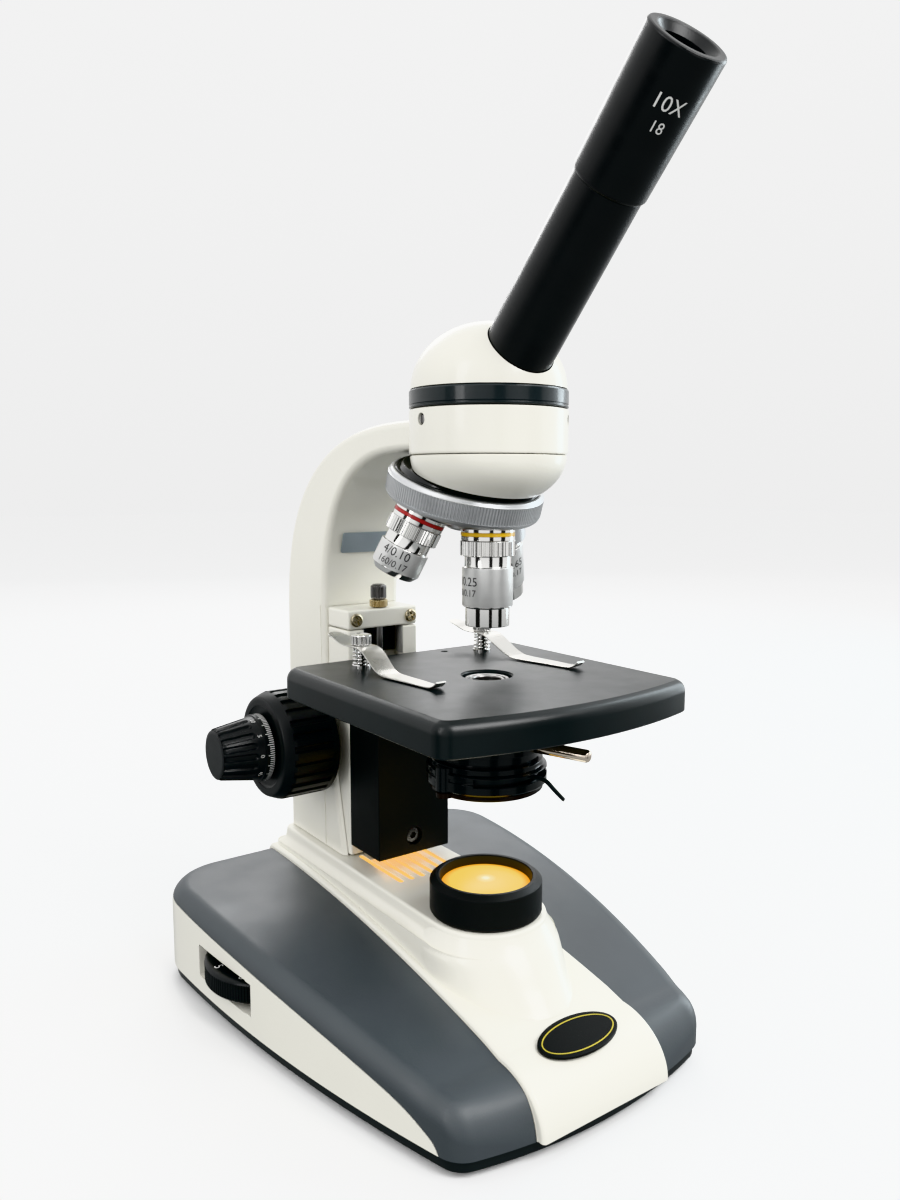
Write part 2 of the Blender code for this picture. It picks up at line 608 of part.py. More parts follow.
def make_inlet():
    y = BACK_Y + GAP
    inlet = part("power_inlet", box((-25, 24), (y - 22, y + 0.4), (INLET_Z - 10, INLET_Z + 10)),
                 colour="black plastic")
    flange = extruded(rounded_box(29.5, 12.4, 3, 3, (-0.5, INLET_Z)), -y - 1.9, -y, None, 0.5, 1)
    for v in flange[0].verts:
        v.co = Vector((v.co.x, -v.co.z, v.co.y))
    bmesh.ops.recalc_face_normals(flange[0], faces=flange[0].faces)
    join(inlet, flange)
    cut(inlet, box((SOCKET_X - 10.8, SOCKET_X + 10.8), (y - 16, y + 5), (INLET_Z - 7.4, INLET_Z + 7.4)),
        box((SWITCH_X - 5.4, SWITCH_X + 5.4), (y - 14, y + 5), (INLET_Z - 8.4, INLET_Z + 8.4)))
    for dx, dz in ((-6, -1.5), (6, -1.5), (0, 3)):
        join(inlet, box((SOCKET_X + dx - 1, SOCKET_X + dx + 1), (y - 17, y - 4),
                        (INLET_Z + dz - 2, INLET_Z + dz + 2)))
    outline = [(-4, -7.2), (1.2, -7.5), (1.6, 0), (4.4, 7.0), (-1.5, 7.5), (-8, 0.8), (-8, -0.8)]
    part("switch_rocker", placed(in_side_view(outline, -5, 5, 0.4, 1),
                                 at(SWITCH_X, BACK_Y - 1.0, INLET_Z)),
         "power_switch", "black plastic")


# ---------------------------------------------------------------- arm and guide

def superellipse(axes, power, start, end, count):
    """Points of the arm's curve, as (y, z), between two angles in degrees."""
    points = []
    for a in np.radians(np.linspace(start, end, count)):
        c, s = abs(cos(a))**(2 / power), abs(sin(a))**(2 / power)
        points.append((ARM_CENTRE[0] + axes[0] * c, ARM_CENTRE[1] + axes[1] * s))
    return points


def arm_outline():
    inner = superellipse(ARM_INNER, ARM_INNER_POWER, 0, 90, 13)
    outer = superellipse(ARM_OUTER, ARM_OUTER_POWER, 90, 0, 16)
    foot = [(ARM_BACK, ARM_FOOT_Z), (79.7, ARM_FOOT_Z), (ARM_FRONT, 133.0)]
    return foot + inner + [(8.0, 241.5), (8.0, 253.7)] + outer


def make_arm():
    rim = in_side_view(arm_outline(), -ARM_HALF, ARM_HALF, ARM_EDGE, 2,
                       lambda m: m.y > 57 and m.x > 8.5)
    arm = part("arm", rim, colour="cream enamel")
    cut(arm, rod(27.6, 230, 262, steps=56))
    join(arm, turned([(29.6, 256.7), (RING_R, 255.7), (RING_R, 240.7), (29.6, 239.7), (25.0, 239.7),
                      (25.0, 256.7)],
                     None, 56, True))
    cut(arm, box((-18.9, 18.9), (60, ARM_FRONT + 0.1), (50, BRACKET_Z[1] + GAP)))
    cut(arm, rod(5.3, -40, 40, ACROSS, 24), box((-6, 6), (90, 109), (DRIVE_Z - 9, DRIVE_Z + 9)))
    for angle, z in SET_SCREWS:
        cut(arm, rod(2.3, 20, 40, along((0, 0, z), azimuth(angle, 1)), 16))
    for x, y in ((-14, 122), (14, 122), (-14, 104), (14, 104)):
        cut(arm, rod(2.1, 50, 68, at(x, y, 0), 12))
    return arm


SET_SCREWS = ((-92, 252.4), (41, 252.4))


def make_arm_fittings():
    for k, (angle, z) in enumerate(SET_SCREWS):
        frame = along((0, 0, z), azimuth(angle, 1))
        screw = part("head_screw_" + ("left", "right")[k],
                     turned([(0, 31.1), (1.5, 31.1), (1.95, 30.6), (1.95, 25.1), (0, 25.1)], frame, 16),
                     colour="satin steel")
        cut(screw, placed(box((-0.35, 0.35), (-4, 4), (30.3, 34)), frame))
    curve = superellipse(ARM_INNER, ARM_INNER_POWER, 0, 90, 91)
    low = min(curve, key=lambda p: abs(p[1] - 197))
    high = min(curve, key=lambda p: abs(p[1] - 206.5))
    run = Vector((0, high[0] - low[0], high[1] - low[1])).normalized()
    out = Vector((0, -run.z, run.y))
    middle = Vector((1.5, (low[0] + high[0]) / 2, (low[1] + high[1]) / 2)) + out * 0.5
    part("arm_label", extruded(rounded_box(14.6, 4.9, 1, 3), 0.0, 0.6, label_frame(middle, run, out)),
         colour="silver label")


def label_frame(middle, run, out):
    """X runs to the right, Y up the arm and Z out of it."""
    frame = Matrix((run.cross(out), run, out)).transposed().to_4x4()
    frame.translation = middle
    return frame


def guide_channel(z_low, z_high, clear):
    """The dovetail way and the slot for the rack behind it, wider all round by `clear`."""
    c = clear
    plan = [(-10.6 - c, 70), (10.6 + c, 70), (10.6 + c, 82), (13.2 + c, 87.4), (13.2 + c, 90 + c),
            (4.6 + c, 90 + c), (4.6 + c, 99), (-4.6 - c, 99), (-4.6 - c, 90 + c), (-13.2 - c, 90 + c),
            (-13.2 - c, 87.4), (-10.6 - c, 82)]
    return extruded(plan, z_low, z_high)


def make_guide():
    guide = part("focus_guide", box((-GUIDE_HALF, GUIDE_HALF), GUIDE_Y, GUIDE_Z, 0.8, 1),
                 colour="cream enamel")
    cut(guide, guide_channel(60.5, GUIDE_Z[1] + 1, GAP), rod(5.7, -25, 25, ACROSS, 28))
    bracket = part("guide_bracket", box((-GUIDE_HALF, GUIDE_HALF), (77.8, 97.0), BRACKET_Z, 0.9, 2),
                   colour="cream enamel")
    cut(bracket, rod(2.4, 150, 180, at(0, STOP_Y, 0), 20))
    for k, x in enumerate((-14.6, 14.6)):
        frame = along((x, 77.8, 167.0), (0, -1, 0))
        cut(bracket, rod(2.0, -9, 2, frame, 16))
        screw = part("bracket_screw_" + ("left", "right")[k],
                     turned([(0, 1.6), (2.5, 1.5), (3.1, 1.0), (3.1, GAP), (1.7, GAP), (1.7, -8), (0, -8)],
                            frame, 20),
                     colour="brass")
        cut(screw, placed(box((-0.4, 0.4), (-2, 2), (0.9, 4)), frame),
            placed(box((-2, 2), (-0.4, 0.4), (0.9, 4)), frame))
    low = BRACKET_Z[1]
    rings = [circle(r, z, 28, (0, 0), 14 if t else 0, t) for r, z, t in
             ((3.1, 175.6, 0), (3.65, 176.1, 0.3), (3.65, 181.8, 0.3), (3.1, 182.4, 0))]
    stop = part("stop_screw", lofted([[(x, y, z - low) for x, y, z in ring] for ring in rings],
                                     at(0, STOP_Y, low)), "stop_screw_turn", "satin steel")
    join(stop, rod(2.0, 150.0, 177.0, at(0, STOP_Y, 0), 16, 0.3))
    rings = [circle(r, z, 28, (0, 0), 14 if t else 0, t) for r, z, t in
             ((3.6, GAP, 0), (4.2, 0.8, 0.3), (4.2, 3.3, 0.3), (3.6, 3.8, 0))]
    nut = part("stop_nut", lofted(rings, at(0, STOP_Y, low)), "stop_nut_turn", "brass")
    cut(nut, rod(2.3, low - 2, low + 8, at(0, STOP_Y, 0), 16))


# ---------------------------------------------------------------- focus drive

def gear(radius, teeth, module, low, high):
    """Spur teeth about the frame's Z, with a pitch circle of `radius`."""
    ring = []
    for i in range(teeth):
        for share, r in ((0.05, radius - 1.15 * module), (0.45, radius - 1.15 * module),
                         (0.65, radius + module - 0.1), (0.85, radius + module - 0.1)):
            a = 2 * pi * (i + share) / teeth
            ring.append((r * cos(a), r * sin(a)))
    return extruded(ring, low, high)


def make_drive():
    module = 2 * PINION_R / PINION_TEETH
    shaft = part("pinion_shaft", turned([(3.3, 48), (5, 48), (5, -48), (3.3, -48)], ACROSS, 28, True),
                 "coarse_focus", "satin steel")
    gear_frame = ACROSS @ Matrix.Rotation(radians(0.25 * 360 / PINION_TEETH), 4, "Z")
    teeth = helper("pinion_teeth", placed(gear(PINION_R, PINION_TEETH, module, -4.2, 4.2), gear_frame))
    cut(teeth, rod(4.2, -6, 6, ACROSS, 28))
    join(shaft, teeth)
    part("fine_shaft", rod(3.0, -73, 73, ACROSS, 20, 0.4), "fine_focus", "satin steel")
    for side, name in ((-1, "left"), (1, "right")):
        frame = along((0, DRIVE_Y, DRIVE_Z), (side, 0, 0))
        rows = ((22.4, 23.2, 0), (25.0, 25.2, 1.3), (25.0, 46.4, 1.3), (24.1, 48.6, 0), (22.9, 51.5, 0))
        knob = part("coarse_knob_" + name, lofted([circle(r, z, 52, (0, 0), 26 if t else 0, t) for r, z,
                                                   t in rows], frame),
                    "coarse_focus", "black plastic")
        cut(knob, rod(5.3, 10, 60, frame, 24), turned([(0, 60), (19.4, 60), (17.6, 50.4), (0, 50.4)],
                                                      frame, 32),
            turned([(0, 40), (17, 40), (19, 20), (0, 20)], frame, 32))
        rows = ((15.3, 52.0, 0), (15.3, 56.4, 0), (14.5, 57.0, 0.9), (11.7, 73.2, 1.0), (10.8, 74.8, 0))
        fine = part("fine_knob_" + name, lofted([circle(r, z, 36, (0, 0), 18 if t else 0, t) for r, z,
                                                 t in rows], frame),
                    "fine_focus", "black plastic")
        cut(fine, rod(3.3, 40, 73.6, frame, 20))


def make_carrier():
    carrier = part("stage_carrier", box((-CARRIER_HALF, CARRIER_HALF), CARRIER_Y, CARRIER_Z, 0.8, 1),
                   "stage_lift", "black metal")
    slider = guide_channel(66.0, 136.0, 0.0)
    way = helper("carrier_slider", slider)
    keep(way, box((-20, 20), (76, 90), (60, 140)))
    join(carrier, way)
    front = along((0, CARRIER_Y[0], 70.2), (0, 1, 0))
    cut(carrier, rod(4.05, -2, 8.6, front, 24))
    screw = part("carrier_screw", rod(3.7, 1.4, 8.3, front, 24, 0.5), "stage_lift", "satin steel")
    hexagon = [(1.7 * cos(radians(a)), 1.7 * sin(radians(a))) for a in range(0, 360, 60)]
    cut(screw, placed(extruded(hexagon, -2, 4.4), front))
    module = 2 * PINION_R / PINION_TEETH
    pitch = pi * module
    line = DRIVE_Y - PINION_R
    root, tip = line - 1.15 * module, line + module - 0.25
    first = RACK_Z[0] + ((DRIVE_Z - RACK_Z[0]) / pitch + 0.5) % 1 * pitch
    outline = [(90 + GAP, RACK_Z[0]), (root, RACK_Z[0])]
    for i in range(1, int((RACK_Z[1] - first) / pitch)):
        z = first + i * pitch
        outline += [(root, z - 0.34 * pitch), (tip, z - 0.13 * pitch)]
        outline += [(tip, z + 0.13 * pitch), (root, z + 0.34 * pitch)]
    outline += [(root, RACK_Z[1]), (90 + GAP, RACK_Z[1])]
    part("focus_rack", in_side_view(outline, -4.0, 4.0), "stage_lift", "satin steel")


# ---------------------------------------------------------------- stage

def stage_outline(inset=0.0):
    """Plan of the stage, with a front that bows out between two small corners."""
    half, corner = STAGE_HALF - inset, 6.0 - min(inset, 4.0)
    radius = (STAGE_HALF**2 + STAGE_BOW**2) / (2 * STAGE_BOW)
    centre = (0.0, STAGE_FRONT - STAGE_BOW + radius)
    fillet_x = half - corner
    fillet_y = centre[1] - sqrt((radius - inset - corner)**2 - fillet_x**2)
    lean = degrees(atan2(fillet_x, centre[1] - fillet_y))
    plan = arc(centre, radius - inset, -90 - lean, -90 + lean, 17)
    plan += arc((fillet_x, fillet_y), corner, -90 + lean, 0, 4)[1:]
    plan += arc((half - corner, STAGE_BACK - inset - corner), corner, 0, 90, 4)
    plan += arc((corner - half, STAGE_BACK - inset - corner), corner, 90, 180, 4)
    plan += arc((-fillet_x, fillet_y), corner, 180, 270 - lean, 4)[:-1]
    return plan


def make_stage():
    stage = part("stage_plate", extruded(stage_outline(), STAGE_SKIRT, STAGE_Z[1], None, 3.2, 2,
                                         lambda m: m.z > 150), "stage_lift", "black metal")
    cut(stage, extruded(stage_outline(3.2), 130, STAGE_Z[0]))
    cut(stage, rod(STAGE_APERTURE, 140, 160, steps=40), rod(1.6, 140, 160, at(16.2, 52, 0), 12))
    cut(stage, box((-19.3, 19.3), (44, 70), (130, STAGE_Z[0] + 0.01)))
    for x, y in CLIP_POSTS.values():
        cut(stage, rod(2.3, 140, 160, at(x, y, 0), 16))
    return stage


def ribbon(path, thick=0.7):
    """A bent strip through (x, y, z, width), lying flat across its path."""
    bm = bmesh.new()
    points = [Vector(p[:3]) for p in path]
    rings = []
    for i, p in enumerate(points):
        run = (points[min(i + 1, len(points) - 1)] - points[max(i - 1, 0)]).normalized()
        level = Vector((run.x, run.y, 0)).normalized()
        across = Vector((-level.y, level.x, 0)) * path[i][3] / 2
        up = (run.cross(across) if run.cross(across).z > 0 else across.cross(run)).normalized() * thick / 2
        rings.append([bm.verts.new(q) for q in (p - across - up, p + across - up, p + across + up,
                                                p - across + up)])
    for a, b in zip(rings, rings[1:]):
        for k in range(4):
            m = (k + 1) % 4
            bm.faces.new((a[k], a[m], b[m], b[k]))
    bm.faces.new(rings[0][::-1])
    bm.faces.new(rings[-1])
    bmesh.ops.recalc_face_normals(bm, faces=bm.faces)
    return bm, Matrix(), nothing_more


def helix(radius, wire, low, high, turns, centre, sides=5, per_turn=9):
    """Round wire wound about a vertical line, with flat capped ends."""
    bm = bmesh.new()
    count = int(turns * per_turn)
    rings = []
    for i in range(count + 1):
        a = 2 * pi * i / per_turn
        z = low + (high - low) * i / count
        out = Vector((cos(a), sin(a), 0))
        middle = Vector((centre[0], centre[1], z)) + out * radius
        rings.append([bm.verts.new(middle + out * wire * cos(b) + Vector((0, 0, wire * sin(b))))
                      for b in (2 * pi * k / sides for k in range(sides))])
    for a, b in zip(rings, rings[1:]):
        for k in range(sides):
            m = (k + 1) % sides
            bm.faces.new((a[k], a[m], b[m], b[k]))
    bm.faces.new(rings[0][::-1])
    bm.faces.new(rings[-1])
    bmesh.ops.recalc_face_normals(bm, faces=bm.faces)
    return bm, Matrix(), nothing_more


def make_clips():
    for side, (x, y) in CLIP_POSTS.items():
        joint, top = "clip_" + side, STAGE_Z[1]
        local = at(x, y, top)
        blade = [(px - x, py - y, pz - top, width) for px, py, pz,
                 width in smooth_curve(CLIP_PATHS[side], 1)]
        clip = part("clip_" + side, placed(ribbon(blade), local), joint, "chrome")
        cut(clip, rod(2.4, 155, 170, at(x, y, 0), 16))
        rings = [circle(r, z, 28, (0, 0), 14 if t else 0, t) for r, z, t in
                 ((3.6, 9.3, 0), (4.2, 9.8, 0.35), (4.2, 12.7, 0.35), (3.5, 13.3, 0))]
        post = part("clip_post_" + side, lofted(rings, local), "stage_lift", "chrome")
        join(post, rod(2.0, 149.4, 164.0, at(x, y, 0), 16))
        part("clip_spring_" + side, helix(3.3, 0.45, top + 0.8, 160.7, 4, (x, y)), "stage_lift", "chrome")


# ---------------------------------------------------------------- condenser

def sector(inner, outer, start, end, low, high):
    """A piece of a ring between two azimuths, for slots that a lever swings in."""
    angles = np.linspace(start, end, 9)
    plan = [azimuth(a, outer)[:2] for a in angles] + [azimuth(a, inner)[:2] for a in angles[::-1]]
    return extruded(plan, low, high)


def make_condenser():
    holder = part("condenser_holder", turned([(19.6, 141), (20.6, 141), (SLEEVE_R, 140.6),
                                              (SLEEVE_R, 122.0),
                                              (19.6, 122.0)], None, 48, True), "stage_lift", "black metal")
    bridge = helper("holder_bridge", box((-13, 13), (14, 52.2), (131.4, 139.6), 0.6, 1))
    cut(bridge, rod(20.2, 120, 150, steps=48))
    join(holder, bridge)
    frame = along((0, 0, LEVER_Z), azimuth(LEVER_AZIMUTH, 1))
    lever = part("condenser_lever", turned([(21.3, 2.8), (22.5, 2.8), (22.5, -2.8), (21.3, -2.8)],
                                           at(0, 0, LEVER_Z), 48, True), "condenser_lever", "chrome")
    join(lever, rod(2.5, 21.8, LEVER_REACH, frame, 20, 0.5))
    x, y = FILTER_PIVOT
    low, high = CONDENSER_Z
    barrel = part("condenser_barrel", turned([(10, 148.0), (13.6, 148.0), (19.2, 143.2), (19.2, high),
                                              (23.6, high),
                                              (CONDENSER_R, high - 0.6), (CONDENSER_R, low + 0.6),
                                              (23.6, low), (13, low),
                                              (13, 113.8), (21.9, 113.8), (21.9, 118.2), (13, 118.2),
                                              (13, 138), (10, 141)],
                                             None, 48, True), "condenser_lift", "black metal")
    join(barrel, rod(3.6, low + 0.2, high - 0.4, at(x, y, 0), 20))
    cut(barrel, rod(21.9, 113.8, 118.2, steps=48), rod(1.7, 105, 113.4, at(x, y, 0), 16))
    cut(barrel, sector(20, 28, IRIS_AZIMUTH - 66, IRIS_AZIMUTH + 31, 114.4, 117.8))
    part("condenser_lens", turned([(0, 147.9), (4, 147.6), (8, 146.4), (9.7, 145.4), (9.7, 141.6),
                                   (0, 141.6)], None, 32),
         "condenser_lift", "glass")
    frame = along((0, 0, 116), azimuth(IRIS_AZIMUTH, 1))
    iris = part("iris_ring", turned([(6.5, 0.9), (21.4, 0.9), (21.4, -0.9), (6.5, -0.9)], at(0, 0, 116),
                                    40, True),
                "iris", "black metal")
    tip = azimuth(IRIS_AZIMUTH, 1)
    path = [(tip[0] * r, tip[1] * r, z, w) for r, z,
            w in ((20.4, 116, 2.6), (26.4, 116, 2.2), (28.6, 115.2, 2.0),
                                                          (36.4, 109.6, 1.8))]
    join(iris, ribbon(path, 1.3))
    filter_ring = part("filter_holder", turned([(16.6, 110.7), (22.1, 110.7), (22.7, 110.2), (22.7, 108.9),
                                                (22.1, 108.4),
                                                 (16.6, 108.4)], None, 48, True), "filter_swing",
                       "satin steel")
    join(filter_ring, rod(3.4, 108.6, 110.5, at(x, y, 0), 20), rod(1.4, 109, 113.1, at(x, y, 0), 14))


# ---------------------------------------------------------------- head and turret

def make_head():
    dome = [(DOME_R * cos(radians(a)), 264.3 + DOME_RISE * sin(radians(a))) for a in (90, 77, 64, 50, 37,
                                                                                      24, 12, 0)]
    inner = [(26.0 * cos(radians(a)), 264.3 + 21.3 * sin(radians(a))) for a in (0, 25, 50, 72, 90)]
    dome[0], inner[-1] = (0, dome[0][1]), (0, inner[-1][1])
    shell = part("head_dome", turned(dome + inner, None, 56), "head_turn", "cream enamel")
    cut(shell, rod(13.4, 22, 60, TUBE, 40))
    part("head_band", turned([(14.6, BAND_TOP), (30.2, BAND_TOP), (RING_R, BAND_TOP - 0.5),
                              (RING_R, 257.6),
                              (30.2, 257.0), (24.6, 257.0), (24.6, 248.4), (14.6, 248.4)], None, 56, True),
         "head_turn", "black metal")
    part("prism", in_side_view([(-9.4, 250.5), (9.4, 250.5), (9.4, 266), (6, 269.2), (1.2, 269.2),
                                (-9.4, 258)], -8.2, 8.2),
         "head_turn", "glass")
    (low, high), (wide, slim) = TUBE_ENDS, TUBE_RADII
    part("eyepiece_tube", turned([(11.75, high), (slim - 0.1, high), (slim, high - 0.3), (wide, low),
                                  (11.75, low)],
                                 TUBE, 44, True), "head_turn", "black metal")
    z = TUBE_ENDS[1]
    local = [(9.0, 62), (9.0, 131.6), (7.6, 133), (7.6, 136.6), (9.6, 138.4), (10.4, EYEPIECE_TOP),
             (12.2, EYEPIECE_TOP),
             (EYEPIECE_R, 138.2), (EYEPIECE_R, 94.6), (12.6, z + GAP), (11.4, z + GAP), (11.4, 62)]
    local = [(r, s - z) for r, s in local[4:] + local[:4]]
    part("eyepiece", turned(local, TUBE @ at(0, 0, z), 44, True), "eyepiece_lift", "black plastic")
    part("eye_lens", turned([(0, 131.2), (4, 131.0), (7, 130.2), (8.7, 129.2), (8.7, 126.6), (0, 126.6)],
                            TUBE, 28),
         "eyepiece_lift", "glass")


def seat_frame(quarter):
    """Frame at an objective's shoulder, with Z up its own axis. Quarter 0 stands on the optical axis."""
    spin = Matrix.Rotation(radians(90 * quarter), 4, TURRET_UP)
    about = at(*TURRET_AT) @ spin @ at(*[-c for c in TURRET_AT])
    return about @ at(0, 0, SHOULDER_Z)


def make_mount():
    bowl = [(BOWL_R * cos(radians(a)), 239.4 - BOWL_DEPTH * sin(radians(a))) for a in (0, 12, 25, 38, 52,
                                                                                       68)]
    profile = [(9.5, 246.5), (24.6, 246.5), (24.6, 239.4)] + bowl + [(9.5, bowl[-1][1])]
    mount = part("nosepiece_mount", turned(profile, None, 56, True), colour="cream enamel")
    cut(mount, placed(box((-60, 60), (-60, 60), (-60, 9.7)), TURRET))
    disc = part("nosepiece_plate", rod(28.0, 7.0, 9.4, TURRET, 48), colour="black metal")
    cut(disc, rod(9.5, 200, 250, steps=28))


def make_turret():
    spacing = 64
    rows = ((29.0, 3.2, 0), (TURRET_R, 3.9, 0.5), (TURRET_R, 7.7, 0.5), (30.9, 8.0, 0), (29.6, 9.0, 0))
    turret = part("nosepiece", lofted([circle(r, z, spacing, (0, 0), 32 if t else 0, t) for r, z,
                                       t in rows], TURRET),
                  "nosepiece_turn", "satin steel")
    cut(turret, rod(28.4, 6.7, 12, TURRET, 48))
    join(turret, turned([(0, 5.0), (28.8, 5.0), (28.8, 3.0), (7, -3.6), (7, -5.6), (6, -6.5), (0, -6.5)],
                        TURRET, 48))
    for quarter in range(4):
        join(turret, rod(12.2, GAP, 2.3, seat_frame(quarter), 28))
    for quarter in (0, 1, 3):
        cut(turret, rod(11.4, -12, GAP, seat_frame(quarter), 28),
            rod(8.7, -2, 20, seat_frame(quarter), 24))
    join(turret, turned([(0, 1.2), (10.4, 1.2), (10.4, -2.4), (9.6, -3.2), (0, -3.2)], seat_frame(2), 28))


def objective(name, quarter, rows):
    """An objective from rows of (radius, depth below the shoulder, knurl depth), from tip to top."""
    rings = [circle(r, -q, 28, (0, 0), 14 if t else 0, t) for r, q, t in rows]
    piece = part(name, lofted(rings, seat_frame(quarter)), "nosepiece_turn", "chrome")
    cut(piece, rod(5.6, -8, 12, seat_frame(quarter), 20))
    return piece


def make_objectives():
    top = ((10.3, 14.9, 0), (9.15, 14.6, 0), (9.15, 11.2, 0), (10.9, 10.7, 0.35), (10.9, 4.9, 0.35),
           (10.5, 4.7, 0),
           (10.56, 4.4, 0), (10.56, 0.3, 0), (10.2, 0.0, 0), (8.4, 0.0, 0), (8.4, -3.6, 0))
    short = objective("objective_4x", 3, ((7.4, 27.0, 0), (8.2, 27.0, 0), (10, 24.6, 0),
                                          (10, 15.2, 0)) + top[1:])
    cut(short, turned([(0, -20), (6.2, -20), (6.8, -30), (0, -30)], seat_frame(3), 24))
    middle = objective("objective_10x", 0, ((6.6, 38.5, 0), (8.3, 38.5, 0), (8.8, 38.0, 0), (8.8, 31.1, 0),
                                            (10, 30.6, 0),
                                            (10, 15.2, 0)) + top[1:])
    cut(middle, rod(4.6, -42, -37.2, seat_frame(0), 20))
    high = objective("objective_40x", 1, ((2.9, 44.4, 0), (3.6, 44.4, 0), (7.0, 41.2, 0), (9.3, 40.0, 0),
                                          (9.3, 34.4, 0),
                                          (10, 33.9, 0), (10, 15.2, 0)) + top[1:])
    cut(high, rod(1.6, -46, -44.0, seat_frame(1), 12))


clear_scene()
PARTS = new_collection("Microscope")
CUTTERS = new_collection("Cutters", hidden=True)
JOINTS = make_joints()
MATERIALS = make_materials()
make_casting()
make_panel("left_side_panel", -1)
make_panel("right_side_panel", 1)
make_plate_and_feet()
make_badge()
make_lamp()
make_dimmer()
make_inlet()
make_arm()
make_arm_fittings()
make_guide()
make_drive()
make_carrier()
make_stage()
make_clips()
make_condenser()
make_head()
make_mount()
make_turret()
make_objectives()
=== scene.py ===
"""Looks for the compound microscope: each CAD piece is rebuilt finely in place and given its finish.

Dimensions are millimetres in the frame of the optical axis, as in the CAD source: X to the right,
-Y to the front, Z = 0 on the table. Each mesh is turned into metres as it is made.
"""
import json
from math import atan2, cos, degrees, hypot, pi, radians, sin, sqrt, tan

import bmesh
import bpy
import numpy as np
from mathutils import Matrix, Vector

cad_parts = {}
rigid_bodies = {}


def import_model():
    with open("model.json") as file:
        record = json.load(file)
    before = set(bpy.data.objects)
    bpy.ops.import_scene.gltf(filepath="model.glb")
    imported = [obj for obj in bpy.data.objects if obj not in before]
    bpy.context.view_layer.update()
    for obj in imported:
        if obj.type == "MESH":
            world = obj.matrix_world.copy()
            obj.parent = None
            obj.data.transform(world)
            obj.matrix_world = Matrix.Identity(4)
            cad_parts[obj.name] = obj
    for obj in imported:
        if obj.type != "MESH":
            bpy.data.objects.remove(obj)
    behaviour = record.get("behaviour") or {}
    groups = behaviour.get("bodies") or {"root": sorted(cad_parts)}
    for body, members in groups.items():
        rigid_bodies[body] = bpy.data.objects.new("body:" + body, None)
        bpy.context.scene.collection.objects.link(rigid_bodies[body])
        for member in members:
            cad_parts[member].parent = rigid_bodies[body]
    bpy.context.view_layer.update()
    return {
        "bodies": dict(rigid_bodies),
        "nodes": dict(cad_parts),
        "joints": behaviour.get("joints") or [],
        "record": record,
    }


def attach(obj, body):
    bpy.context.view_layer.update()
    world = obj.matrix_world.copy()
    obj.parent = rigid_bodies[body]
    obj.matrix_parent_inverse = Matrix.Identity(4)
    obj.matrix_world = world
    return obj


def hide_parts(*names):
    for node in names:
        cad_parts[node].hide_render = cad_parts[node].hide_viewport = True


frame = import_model()
RECORD = frame["record"]
BODY_OF = {n: b for b, ns in RECORD["behaviour"]["bodies"].items() for n in ns}

MM = 0.001
GAP = 0.3
AXIS_X, AXIS_Y = 0.95, -18.57

# Base: plan outline, height of its top, and the pieces that stand on it.
SIDE_RADIUS, SIDE_REACH, SIDE_CENTRE_Y = 700.0, 89.94, 138.0
FRONT_RADIUS, FRONT_Y = 211.0, -71.5
BACK_Y, BACK_CORNER, FRONT_CORNER = 142.0, 28.0, 12.0
WALL_Z = 7.5
TOP_Y, TOP_Z, TOP_SLOPE, TOP_CROWN = -39.6, 28.4, 0.0945, 18.0
NOSE_Y, NOSE_Z, NOSE_A, NOSE_B = -48.5, 26.0, 22.5, 18.0
ROLL = 8.0
PANEL, CAVITY = 2.5, 5.5
STRIP_HALF, STRIP_RISE = 31.2, 2.0
PANEL_EDGE = ((-66, -20), (-56.1, 6.1), (-48.6, 13.8), (-31.1, 20.9), (6.4, 28.6), (55.3, 34.6),
              (108.5, 38.2), (134, 39.3), (160, 40.0))
PLATE = (2.5, 7.2)
FEET = ((-46, -48), (46, -48), (-62, 116), (62, 116))
PLATEAU_Z, PLATEAU_HALF, MOULDING_Z, MOULDING_HALF = 56.0, 24.9, 48.5, 28.6
BOSS = ((55.8, 23.6, 23.6), (54.6, 24.8, 24.8), (52.6, 25.7, 25.9), (49.8, 27.2, 27.8), (46.4, 28.9, 30.6),
        (42.3, 29.1, 33.6), (38.0, 29.2, 36.6), (35.0, 29.3, 38.9), (31.8, 29.4, 41.4), (28.0, 29.5, 44.0),
        (16.0, 29.5, 44.0))
VENTS_X, VENTS_Y, VENT_WIDTH = (-14, -8.4, -2.8, 2.8, 8.4, 14), (41, 77.4), 2.4
COLLAR_R, LENS_R, COLLAR_Z = 23.0, 18.4, (56.3, 70.8)
DIMMER_R, DIMMER_AT, DIMMER_Z = 27.7, (-63.7, 70.8), (17.5, 26.8)
SLOT_Y, SLOT_Z = (49.5, 90), (14.6, 29.2)
INLET_Z = 23.0
SWITCH_X, SOCKET_X = -16.0, 10.0

# Arm and the slide guide in its front.
ARM_HALF, ARM_BACK, ARM_FRONT, ARM_FOOT_Z = 20.85, 135.3, 97.4, 56.3
ARM_CENTRE = (24.5, 160.0)
ARM_OUTER, ARM_OUTER_POWER = (110.8, 93.7), 2.6
ARM_INNER, ARM_INNER_POWER = (72.9, 81.5), 2.8
ARM_EDGE = 3.2
GUIDE_HALF, GUIDE_Y, GUIDE_Z = 18.6, (77.8, 97.1), (56.7, 162.4)
BRACKET_Z = (162.7, 171.5)
STOP_Y = 82.0

# Focus drive, on one axis across the arm.
DRIVE_Y, DRIVE_Z = 100.0, 109.3

